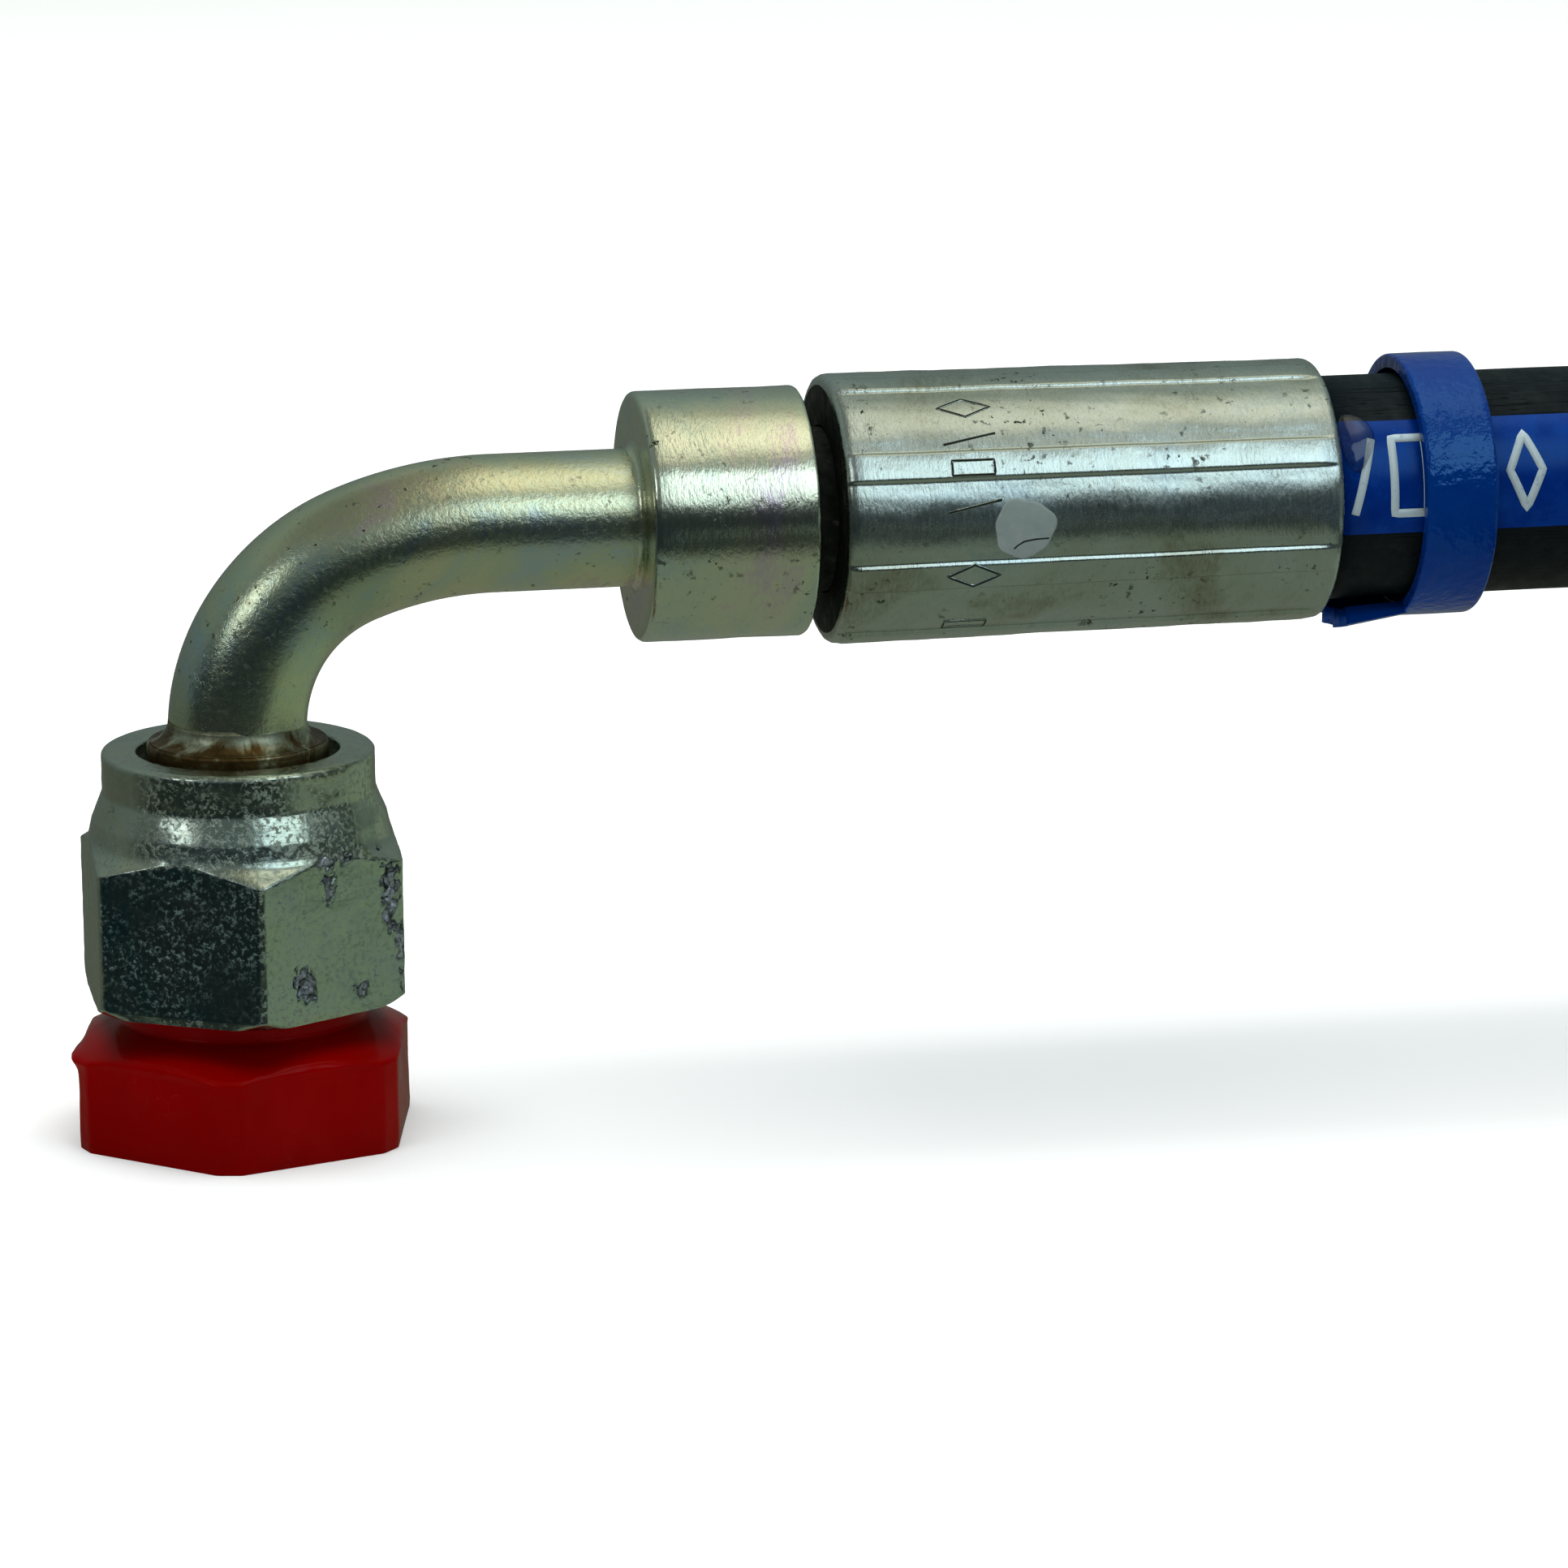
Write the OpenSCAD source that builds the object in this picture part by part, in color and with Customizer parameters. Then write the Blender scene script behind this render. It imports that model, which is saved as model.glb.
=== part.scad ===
// Hydraulic hose assembly: a swept 90 degree elbow with a swivel nut and a shipping plug at one
// end, a crimped ferrule at each end, about a metre of hose, and a straight swivel end.
// Frame: +Z up, the elbow's nut axis on Z, the plug's foot at z = 0, the elbow's hose along +X.
// Units are millimetres. "Local" fitting modules stand on Z with the nut's mouth at local z = 0.

/* [Hose] */
// Outside diameter of the hose
hose_d = 16.5; // [16.3:0.1:16.6]
// Bore of the hose
hose_bore = 9.5; // [9.4:0.1:9.6]
// Mean radius of the coil that the spare hose is wound in
coil_r = 90; // [88:1:92]
// Thickness of the nylon coil ties
tie_t = 1.1; // [0.9:0.1:1.2]
// Width of the nylon coil ties
tie_w = 5; // [4:0.5:6]

/* [Elbow] */
// Height of the horizontal hose axis above the plug's foot
axis_h = 44; // [44:0.5:46]
// Outside diameter of the bent tube
tube_d = 10; // [9.6:0.1:10.2]
// Bore of the bent tube
tube_bore = 7; // [6:0.5:7.5]
// Radius of the tight bend next to the nut
bend_r_tight = 13.5; // [13:0.1:13.8]
// Radius of the open bend next to the collar
bend_r_open = 28; // [26:0.5:28.5]
// Angle turned by the tight bend
bend_a_tight = 69; // [67:1:71]

/* [Collar and ferrule] */
// Where the collar starts along the hose axis
collar_x = 29.1; // [28.5:0.1:30]
// Collar diameter
collar_d = 18.2; // [17.5:0.1:18.6]
// Collar length
collar_l = 12.1; // [11.5:0.1:12.5]
// Gap between collar and ferrule
ferrule_gap = 1.8; // [1.2:0.1:2]
// Ferrule diameter at its stem end, after crimping
ferrule_d = 19.8; // [19.4:0.1:20.2]
// Ferrule diameter at its hose end, after crimping
ferrule_d_hose = 19.2; // [19:0.1:19.6]
// Ferrule length
ferrule_l = 36.9; // [36:0.1:38]
// Number of raised lines left by the crimping dies
crimp_lines = 8; // [6:1:10]

/* [Swivel nuts] */
// Hexagon across flats
nut_af = 22; // [21.8:0.1:22.2]
// Whole length of the nut
nut_l = 18; // [17.7:0.1:18.3]
// Height of the hexagon's corners above the mouth
nut_corner_h = 10.4; // [10:0.1:10.8]
// Height of the hexagon's chamfer above its corners
nut_chamfer_h = 1.1; // [0.8:0.1:1.4]
// Height where the cone runs into the rim
nut_cone_top = 15.1; // [14.7:0.1:15.5]
// Rim diameter at the back of the nut
nut_rim_d = 19.7; // [19.4:0.1:19.9]
// Counterbore diameter at the back of the nut
nut_back_d = 14.6; // [14.2:0.1:14.8]
// Minor diameter of the 11/16-16 UN thread
thread_minor_d = 15.96; // [15.9:0.02:16.02]
// Depth of thread
thread_l = 10.5; // [10.1:0.1:10.7]

/* [Plug and tether ring] */
// Height of the nut's mouth above the plug's foot
plug_stand_h = 10.4; // [10.2:0.1:10.6]
// Plug head across its wide flats
plug_af = 23; // [22.6:0.1:23.2]
// Plug head across its narrow flats
plug_corner_d = 25.5; // [25.2:0.1:25.8]
// Height of the plug head's narrow flats
plug_head_h = 6.7; // [6.4:0.1:7]
// Height of the plug's stem above the nut's mouth
plug_stem_l = 5.6; // [5:0.1:5.8]
// Outside diameter of the tether ring
ring_d = 19.4; // [19.2:0.1:19.6]
// Bore of the tether ring
ring_bore = 17.3; // [17.2:0.1:17.5]
// Width of the tether ring
ring_w = 5.4; // [5:0.1:5.8]

/* [Hidden] */
$fn = 96;
tiny = 0.01;
fit_gap = 0.02;
running_gap = 0.08;
hose_r = hose_d / 2;
tube_r = tube_d / 2;
bore_r = tube_bore / 2;
socket_depth = 6;

// Elbow stations
nut_z = plug_stand_h;
bend_z = axis_h - bend_r_open + (bend_r_open - bend_r_tight) * sin(bend_a_tight);
open_centre = [bend_r_tight + (bend_r_open - bend_r_tight) * cos(bend_a_tight), 0, axis_h - bend_r_open];
ferrule_x = collar_x + collar_l + ferrule_gap;
hose_x = ferrule_x + ferrule_l;

// Sealing sleeve and nut, local heights above the mouth
face_z = 10.9;
flange_r = 7.7;
flange_t = 2.6;
flange_top = face_z + flange_t;
face_chamfer = 0.4;
shank_r = 6.53;
sleeve_l = 18.6;
tube_seat_z = face_z + 2;
sleeve_cone_top = flange_top + flange_r - shank_r;
thread_r = thread_minor_d / 2;
undercut_r = 8.9;
back_bore_r = shank_r + running_gap;
shoulder_gap = 0.42;
shoulder_top = flange_top + flange_r - back_bore_r + shoulder_gap;
undercut_top = shoulder_top - (undercut_r - back_bore_r);
counterbore_z = 16.2;
hex_corner_r = nut_af / 2 / cos(30);
mouth_chamfer = [0.9, 0.7];
rim_chamfer = 0.4;
bore_chamfer = 0.5;
back_chamfer = 0.3;
braze_w = shank_r - tube_r - 0.2;
braze_h = 1.6;
collar_braze_w = 0.6;

// Ferrule and stem, local lengths from the ferrule's stem end
lock_neck_r = 6;
lock_start = 2.5;
lock_end = 4.1;
lock_r = 7.2;
cavity_start = 4.2;
cavity_r = 7.8;
nipple_r = hose_bore / 2 - 0.05;
nipple_root_r = 4.35;
nipple_end = 33;
nipple_bore_r = 3.2;
barb_pitch = 3.5;
barb_count = 7;
barb_drop = 0.3;
last_barb_gap = 2;
lock_gap = 0.1;
tooth_pitch = 4;
tooth_count = 7;
bell_mouth_l = 2.5;
ferrule_end = [1, 2];
tooth_depth = 0.5;
tooth_gap = 1.4;
crimp_phase = -27;
crimp_line_w = 1.7;
crimp_line_h = 0.22;
collar_chamfers = [0.5, 0.3];

// Hose layers under the ferrule, from the bore outwards
liner_r = 5.9;
braid_r = 6.7;
cover_r = cavity_r - fit_gap;
layer_start = cavity_start + 0.2;

// Free hose. The route's points are set by hand; the coil's turns are worked out.
floor_level = tie_t + hose_r;
upper_level = floor_level + hose_d + 0.1;
coil_centre = [196, -coil_r];
lead_route = [
    [hose_x, 0, axis_h], [90, 0, axis_h], [100, 0, axis_h], [108, 0, 43.8], [116, 0, 43],
    [124, 0, 41.7], [132, 0, 39.8], [140, 0, 37.3], [148, 0, 34.4], [156, 0, 31.5],
    [164, 0, 29.1], [172, 0, 27.3], [180, 0, 26.3], [188, 0, upper_level], [196, 0, upper_level]
];
far_axis = nut_af / 2;
far_hose_x = 128;
tail_route = [
    [196, -2 * coil_r, floor_level], [186, -2 * coil_r, floor_level], [176, -2 * coil_r, 9.5],
    [166, -2 * coil_r, 9.8], [156, -2 * coil_r, 10.3], [146, -2 * coil_r, 10.8],
    [137, -2 * coil_r, far_axis], [far_hose_x, -2 * coil_r, far_axis]
];
hose_sides = 12;
// Angles of the coil, clockwise from above, where the hose leaves the upper level and lands
overlap_end = 180;
tail_clear = 216;
ramp_middle = 262;
ramp_end = 320;
full_turn = 360;
// Stretches of the coil: from, to, lowest and highest level of the hose in it. Each later
// stretch starts a degree inside the one before it, a hair slimmer, and the last ends inside
// the first.
coil_stretches = [
    [0, overlap_end, floor_level, upper_level],
    [overlap_end - 1, tail_clear, upper_level, upper_level],
    [tail_clear - 1, ramp_middle, upper_level - hose_r, upper_level],
    [ramp_middle - 1, ramp_end, floor_level, upper_level - hose_r],
    [ramp_end - 1, full_turn + 1, floor_level, floor_level]
];
stretch_inset = 0.02;
tie_angles = [45, 135];
tie_clear = 0.06;
// Locking head of a tie: outwards, up, and how much wider than the band
tie_head = [5, 6, 2];
tie_head_drop = 8;

// Straight end
shank_gap = 2.5;
far_ferrule_z = nut_l + shank_gap;
shank_step = 0.6;
far_mouth_x = far_hose_x - ferrule_l - far_ferrule_z;

// Tether ring
ring_x = 86.1;
tongue_x = 81.2;
tongue_r = 9.4;
tongue_t = 1;
tongue_root = 1;
tongue_half_angle = 24;
ring_chamfer = 0.3;

// Plug. The head's top falls outwards from its collar.
plug_turn = 17.5;
plug_collar_r = 8.9;
plug_wall = 1.6;
plug_floor = 3;
plug_seat_gap = 0.4;
plug_top_slope = 0.52;
plug_tip = 0.5;

// Seam discs of the bent rod
seam_l = 0.4;
seam_lip = 0.01;

zinc = [0.62, 0.62, 0.52];
bare_steel = [0.55, 0.54, 0.49];
rubber_black = [0.06, 0.06, 0.06];
tie_black = [0.1, 0.1, 0.1];

// ---- placing ----

module on_nut_axis() {
    translate([0, 0, nut_z]) children();
}

module along_hose(x) {
    translate([x, 0, axis_h]) rotate([0, 90, 0]) children();
}

module at_far_end(z = 0) {
    translate([far_mouth_x + z, -2 * coil_r, far_axis]) rotate([0, 90, 0]) children();
}

// ---- shared shapes ----

// A solid turned from a profile of [radius, height] points
module turned(profile) {
    rotate_extrude() polygon(profile);
}

// The bent tube's path as a solid rod; its two ends run on by extra. The stretches stop short
// of each other, and a seam a hair wider than the rod joins them.
module bent_rod(r, extra = 0) {
    gap_tight = seam_l / 4 / bend_r_tight * 180 / PI;
    gap_open = seam_l / 4 / bend_r_open * 180 / PI;
    foot_z = nut_z + tube_seat_z - extra;
    translate([0, 0, foot_z]) cylinder(r = r, h = bend_z - seam_l / 4 - foot_z);
    translate([0, 0, bend_z]) seam(r);
    translate([bend_r_tight, 0, bend_z]) rotate([90, 0, 180]) rotate([0, 0, gap_tight])
        rotate_extrude(angle = bend_a_tight - 2 * gap_tight) translate([bend_r_tight, 0]) circle(r = r);
    translate([bend_r_tight * (1 - cos(bend_a_tight)), 0, bend_z + bend_r_tight * sin(bend_a_tight)])
        rotate([0, bend_a_tight, 0]) seam(r);
    translate(open_centre) rotate([90, 0, 180]) rotate([0, 0, bend_a_tight + gap_open])
        rotate_extrude(angle = 90 - bend_a_tight - 2 * gap_open) translate([bend_r_open, 0]) circle(r = r);
    along_hose(open_centre[0]) seam(r);
    along_hose(open_centre[0] + seam_l / 4)
        cylinder(r = r, h = collar_x + socket_depth - open_centre[0] - seam_l / 4 + extra);
}

module seam(r) {
    translate([0, 0, -seam_l / 2]) cylinder(r = r + seam_lip, h = seam_l);
}

// Barbs of the nipple: each rises slowly towards the collar and drops sharply
function barb_points() = [
    for (i = [0 : barb_count - 1], k = [0 : 1])
        let (z = nipple_end - last_barb_gap - i * barb_pitch)
        [k == 0 ? nipple_root_r : nipple_r, k == 0 ? z : z - barb_pitch + barb_drop]
];

// Nipple and lock shoulder, from the ferrule's stem end to the hose end
function nipple_points() = concat(
    [[lock_neck_r, lock_start], [lock_r, lock_start], [lock_r, lock_end], [nipple_r, lock_end]],
    [for (i = [len(barb_points()) - 1 : -1 : 0]) barb_points()[i]],
    [[nipple_root_r, nipple_end], [nipple_bore_r, nipple_end]]
);

// Crimped ferrule, local z = 0 at its stem end
module ferrule() {
    difference() {
        union() {
            turned(concat(
                [[lock_neck_r, 0]],
                [for (a = [90 : -22.5 : 0]) ferrule_edge(ferrule_d / 2, 0, a, 1)],
                [for (a = [0 : 22.5 : 90]) ferrule_edge(ferrule_d_hose / 2, ferrule_l, a, -1)],
                [[lock_neck_r, ferrule_l]]
            ));
            for (i = [0 : crimp_lines - 1])
                rotate([0, 0, i * 360 / crimp_lines + crimp_phase]) crimp_line();
        }
        translate([0, 0, -tiny]) cylinder(r = lock_neck_r + lock_gap, h = ferrule_l + 1);
        translate([0, 0, lock_start - lock_gap]) cylinder(r = lock_r + lock_gap, h = cavity_start);
        translate([0, 0, cavity_start]) cylinder(r = cavity_r, h = ferrule_l);
        for (i = [0 : tooth_count - 1])
            translate([0, 0, cavity_start + tooth_pitch / 2 + i * tooth_pitch])
                cylinder(r = cavity_r + tooth_depth, h = tooth_pitch - tooth_gap);
        translate([0, 0, ferrule_l - bell_mouth_l])
            cylinder(r1 = cavity_r, r2 = hose_r + lock_gap, h = bell_mouth_l + tiny);
    }
}

// A point on the rounded end of the ferrule, a degrees round from its outside
function ferrule_edge(r, z, a, inwards) =
    [r - ferrule_end[0] * (1 - cos(a)), z + inwards * ferrule_end[1] * (1 - sin(a))];

// One raised line between two die marks, on the local +Y side
module crimp_line() {
    slope = atan((ferrule_d - ferrule_d_hose) / 2 / ferrule_l);
    translate([0, ferrule_d / 2 - 1, ferrule_end[1]]) rotate([slope, 0, 0])
        linear_extrude(ferrule_l - 2 * ferrule_end[1])
            translate([-crimp_line_w / 2, 0]) square([crimp_line_w, 1 + crimp_line_h]);
}

// One layer of the hose inside the ferrule
module hose_layer(r_in, r_out) {
    turned([[r_in, layer_start], [r_out, layer_start], [r_out, ferrule_l], [r_in, ferrule_l]]);
}

module cover_layer() {
    turned([
        [braid_r, layer_start], [cover_r, layer_start], [cover_r, ferrule_l - bell_mouth_l],
        [hose_r - fit_gap, ferrule_l], [braid_r, ferrule_l]
    ]);
}

// Swivel nut, local z = 0 at its mouth
module swivel_nut() {
    difference() {
        intersection() {
            rotate([0, 0, 30]) cylinder(r = hex_corner_r, h = nut_l, $fn = 6);
            turned([
                [0, 0], [hex_corner_r - mouth_chamfer[0], 0], [hex_corner_r, mouth_chamfer[1]],
                [hex_corner_r, nut_corner_h], [nut_af / 2, nut_corner_h + nut_chamfer_h],
                [nut_rim_d / 2, nut_cone_top], [nut_rim_d / 2, nut_l - rim_chamfer],
                [nut_rim_d / 2 - rim_chamfer, nut_l], [0, nut_l]
            ]);
        }
        turned([
            [0, -1], [thread_r + 1 + bore_chamfer, -1], [thread_r, bore_chamfer], [thread_r, thread_l],
            [undercut_r, thread_l], [undercut_r, undercut_top], [back_bore_r, shoulder_top],
            [back_bore_r, counterbore_z], [nut_back_d / 2, counterbore_z],
            [nut_back_d / 2, nut_l - back_chamfer], [nut_back_d / 2 + back_chamfer, nut_l + tiny],
            [nut_back_d / 2 + back_chamfer, nut_l + 1], [0, nut_l + 1]
        ]);
    }
}

// Flat-faced sealing end up to the top of its shank, as an outline without the bore
function sealing_points(top) = [
    [0, face_z], [flange_r - face_chamfer, face_z], [flange_r, face_z + face_chamfer],
    [flange_r, flange_top],
    [shank_r, sleeve_cone_top], [shank_r, top]
];

// Concave braze fillet round a rod of radius r_rod, standing on local z = 0
module braze_fillet(r_rod, w, h) {
    steps = 6;
    turned(concat(
        [[r_rod + running_gap, 0]],
        [for (i = [0 : steps])
            [r_rod + running_gap + w - w * sin(90 * i / steps), h - h * cos(90 * i / steps)]]
    ));
}

// A tube of flat-sided rings swept along route, each ring square to the route
function unit(v) = v / norm(v);
function heading(route, i) = unit(route[min(i + 1, len(route) - 1)] - route[max(i - 1, 0)]);
function ring_points(route, i, r) =
    let (t = heading(route, i), side = unit(cross([0, 0, 1], t)), up = cross(t, side))
    [for (k = [0 : hose_sides - 1])
        route[i] + r * (cos(360 * k / hose_sides) * side + sin(360 * k / hose_sides) * up)];
module swept(route, r) {
    n = len(route);
    points = [for (i = [0 : n - 1]) each ring_points(route, i, r)];
    walls = [for (i = [0 : n - 2], k = [0 : hose_sides - 1])
        let (a = i * hose_sides, b = a + hose_sides, next = (k + 1) % hose_sides)
        [a + k, b + k, b + next, a + next]];
    first = [for (k = [0 : hose_sides - 1]) k];
    last = [for (k = [hose_sides - 1 : -1 : 0]) (n - 1) * hose_sides + k];
    polyhedron(points, concat(walls, [first, last]));
}

// Section of one or two stacked hoses: circles at both levels and the band between
module hose_section(r, low, high) {
    translate([0, low]) circle(r = r);
    if (high > low) {
        translate([0, high]) circle(r = r);
        translate([-r, low]) square([2 * r, high - low]);
    }
}

// Part of the coil between two angles, clockwise from above, starting at the lead
module coil_arc(from, to, low, high, inset) {
    translate([coil_centre[0], coil_centre[1], 0]) rotate([0, 0, 90 - to])
        rotate_extrude(angle = to - from) translate([coil_r, 0]) hose_section(hose_r - inset, low, high);
}

// Nylon tie round the two stacked turns, with its locking head on the outside
module coil_tie(angle) {
    color(tie_black)
    translate([coil_centre[0], coil_centre[1], 0]) rotate([0, 0, 90 - angle])
        translate([coil_r, tie_w / 2, 0]) rotate([90, 0, 0]) {
            linear_extrude(tie_w) difference() {
                hose_section(hose_r + tie_t, floor_level, upper_level);
                hose_section(hose_r + tie_clear, floor_level, upper_level);
            }
            translate([hose_r + tie_t / 2, upper_level - tie_head_drop, -tie_head[2] / 2])
                linear_extrude(tie_w + tie_head[2]) square([tie_head[0], tie_head[1]]);
        }
}

// ---- elbow end ----

module elbow_tube() {
    color(zinc) difference() {
        bent_rod(tube_r);
        bent_rod(bore_r, 1);
    }
}

module elbow_sleeve() {
    color(zinc) on_nut_axis() difference() {
        turned(concat(sealing_points(sleeve_l), [[0, sleeve_l]]));
        cylinder(r = bore_r, h = nut_l);
        translate([0, 0, tube_seat_z]) cylinder(r = tube_r + fit_gap, h = nut_l);
    }
}

module sleeve_braze() {
    color(zinc) on_nut_axis() translate([0, 0, sleeve_l])
        braze_fillet(tube_r, braze_w, braze_h);
}

module collar_braze() {
    color(zinc) along_hose(collar_x) mirror([0, 0, 1]) braze_fillet(tube_r, collar_braze_w, collar_braze_w);
}

module elbow_stem() {
    nipple_z = collar_l + ferrule_gap;
    color(zinc) along_hose(collar_x) difference() {
        turned(concat(
            [[0, 0], [collar_d / 2 - collar_chamfers[0], 0], [collar_d / 2, collar_chamfers[0]],
                [collar_d / 2, collar_l - collar_chamfers[1]],
                [collar_d / 2 - collar_chamfers[1], collar_l], [lock_neck_r, collar_l]],
            [for (p = nipple_points()) [p[0], p[1] + nipple_z]],
            [[0, nipple_end + nipple_z]]
        ));
        translate([0, 0, -tiny]) cylinder(r = tube_r + fit_gap, h = socket_depth + tiny);
        cylinder(r = nipple_bore_r, h = collar_l + ferrule_gap + ferrule_l);
    }
}

module elbow_ferrule() {
    color(bare_steel) along_hose(ferrule_x) ferrule();
}

module elbow_liner() {
    color(rubber_black) along_hose(ferrule_x) hose_layer(hose_bore / 2, liner_r);
}

module elbow_braid() {
    color("silver") along_hose(ferrule_x) hose_layer(liner_r, braid_r);
}

module elbow_cover() {
    color(rubber_black) along_hose(ferrule_x) cover_layer();
}

module elbow_nut() {
    color(zinc) on_nut_axis() swivel_nut();
}

// Height of the plug head's top, r from its axis
function plug_top(r) = plug_head_h + plug_top_slope * (plug_corner_d / 2 - r);

module shipping_plug() {
    stem_r = thread_r - running_gap;
    collar_top = plug_stand_h - plug_seat_gap;
    stem_top = plug_stand_h + plug_stem_l;
    outer_r = plug_af / 2 / cos(30) + 1;
    color("firebrick") difference() {
        union() {
            rotate([0, 0, plug_turn]) intersection() {
                cylinder(r = plug_af / 2 / cos(30), h = collar_top, $fn = 6);
                rotate([0, 0, 30]) cylinder(r = plug_corner_d / 2 / cos(30), h = collar_top, $fn = 6);
                turned([
                    [0, 0], [outer_r, 0], [outer_r, plug_top(outer_r)],
                    [plug_collar_r, plug_top(plug_collar_r)], [plug_collar_r, collar_top], [0, collar_top]
                ]);
            }
            cylinder(r = stem_r, h = stem_top - plug_tip);
            translate([0, 0, stem_top - plug_tip])
                cylinder(r1 = stem_r, r2 = stem_r - plug_tip, h = plug_tip);
        }
        translate([0, 0, plug_floor]) cylinder(r = stem_r - plug_wall, h = stem_top);
    }
}

module tether_ring() {
    color("mediumblue") along_hose(ring_x) {
        turned([
            [ring_bore / 2, 0], [ring_d / 2 - ring_chamfer, 0], [ring_d / 2, ring_chamfer],
            [ring_d / 2, ring_w - ring_chamfer], [ring_d / 2 - ring_chamfer, ring_w], [ring_bore / 2, ring_w]
        ]);
        translate([0, 0, tongue_x - ring_x]) rotate([0, 0, -tongue_half_angle])
            rotate_extrude(angle = 2 * tongue_half_angle)
                polygon([[tongue_r, 0], [tongue_r + tongue_t, 0],
                    [ring_d / 2 - ring_chamfer / 2, ring_x - tongue_x + tongue_root],
                    [ring_bore / 2 + ring_chamfer / 2, ring_x - tongue_x + tongue_root]]);
    }
}

// ---- free hose ----

module hose_lead() {
    color(rubber_black) swept(lead_route, hose_r);
}

module hose_coil() {
    color(rubber_black)
        for (i = [0 : len(coil_stretches) - 1])
            let (s = coil_stretches[i]) coil_arc(s[0], s[1], s[2], s[3], i * stretch_inset);
}

module hose_tail() {
    color(rubber_black) swept(tail_route, hose_r);
}

module coil_tie_a() {
    coil_tie(tie_angles[0]);
}

module coil_tie_b() {
    coil_tie(tie_angles[1]);
}

// ---- straight end ----

module far_liner() {
    color(rubber_black) at_far_end(far_ferrule_z) hose_layer(hose_bore / 2, liner_r);
}

module far_braid() {
    color("silver") at_far_end(far_ferrule_z) hose_layer(liner_r, braid_r);
}

module far_cover() {
    color(rubber_black) at_far_end(far_ferrule_z) cover_layer();
}

module far_ferrule() {
    color(bare_steel) at_far_end(far_ferrule_z) ferrule();
}

module far_stem() {
    shank_top = far_ferrule_z - shank_step;
    color(zinc) at_far_end() difference() {
        turned(concat(
            sealing_points(shank_top),
            [[lock_neck_r, shank_top]],
            [for (p = nipple_points()) [p[0], p[1] + far_ferrule_z]],
            [[0, nipple_end + far_ferrule_z]]
        ));
        cylinder(r = nipple_bore_r, h = far_ferrule_z + ferrule_l);
    }
}

module far_nut() {
    color(zinc) at_far_end() swivel_nut();
}

elbow_tube();
elbow_sleeve();
sleeve_braze();
collar_braze();
elbow_stem();
elbow_ferrule();
elbow_liner();
elbow_braid();
elbow_cover();
elbow_nut();
shipping_plug();
tether_ring();
hose_lead();
hose_coil();
hose_tail();
coil_tie_a();
coil_tie_b();
far_liner();
far_braid();
far_cover();
far_ferrule();
far_stem();
far_nut();
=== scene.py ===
"""Looks of the hydraulic hose assembly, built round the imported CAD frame.

Pieces are built in millimetres in the row frame, and Piece.make turns them into metres.
"""
import math

import bmesh
import bpy
import numpy as np
from mathutils import Matrix, Vector, noise


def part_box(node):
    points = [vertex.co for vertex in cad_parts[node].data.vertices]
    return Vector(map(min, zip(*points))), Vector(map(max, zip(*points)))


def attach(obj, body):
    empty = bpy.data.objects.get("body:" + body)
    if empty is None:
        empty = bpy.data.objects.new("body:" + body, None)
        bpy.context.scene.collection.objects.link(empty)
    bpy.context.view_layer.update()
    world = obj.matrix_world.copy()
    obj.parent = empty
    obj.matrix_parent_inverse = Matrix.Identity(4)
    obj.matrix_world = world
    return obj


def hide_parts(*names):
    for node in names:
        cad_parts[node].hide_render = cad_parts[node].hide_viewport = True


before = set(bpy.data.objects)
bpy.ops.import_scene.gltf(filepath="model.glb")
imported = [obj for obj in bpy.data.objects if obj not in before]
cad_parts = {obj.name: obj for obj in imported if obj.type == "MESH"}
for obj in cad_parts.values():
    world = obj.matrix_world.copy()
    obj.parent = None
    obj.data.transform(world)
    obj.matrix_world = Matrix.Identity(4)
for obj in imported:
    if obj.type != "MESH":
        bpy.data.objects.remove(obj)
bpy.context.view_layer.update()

MM = 0.001
TAU = 2 * math.pi


def span(node, axis):
    """Lowest and highest coordinate of a CAD node along axis 0, 1 or 2, in millimetres."""
    low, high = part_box(node)
    return low[axis] / MM, high[axis] / MM


def middle(node, axis):
    return sum(span(node, axis)) / 2


def size_of(node, axis):
    low, high = span(node, axis)
    return high - low


def add_node(tree, kind, inputs=(), outlet=0, **settings):
    """A new shader node with settings, its inputs linked or set, and one of its outputs."""
    new = tree.nodes.new("ShaderNode" + kind)
    for key, value in settings.items():
        setattr(new, key, value)
    for key, value in dict(inputs).items():
        if isinstance(value, bpy.types.NodeSocket):
            tree.links.new(value, new.inputs[key])
        else:
            new.inputs[key].default_value = value
    return new.outputs[outlet]


def put_in_scene(name, data):
    thing = bpy.data.objects.new(name, data)
    bpy.context.scene.collection.objects.link(thing)
    return thing


# ---- camera and light

CAMERA_AZIMUTH = math.radians(11.52)  # turned from looking along +Y towards +X
CAMERA_ELEVATION = math.radians(13.36)
CAMERA_ROLL = math.radians(-0.255)
CAMERA_DISTANCE = 0.4682
CAMERA_TARGET = Vector((0.04016, 0, 0.02356))
SENSOR = 36
LENS = 4.064 * SENSOR


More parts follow.
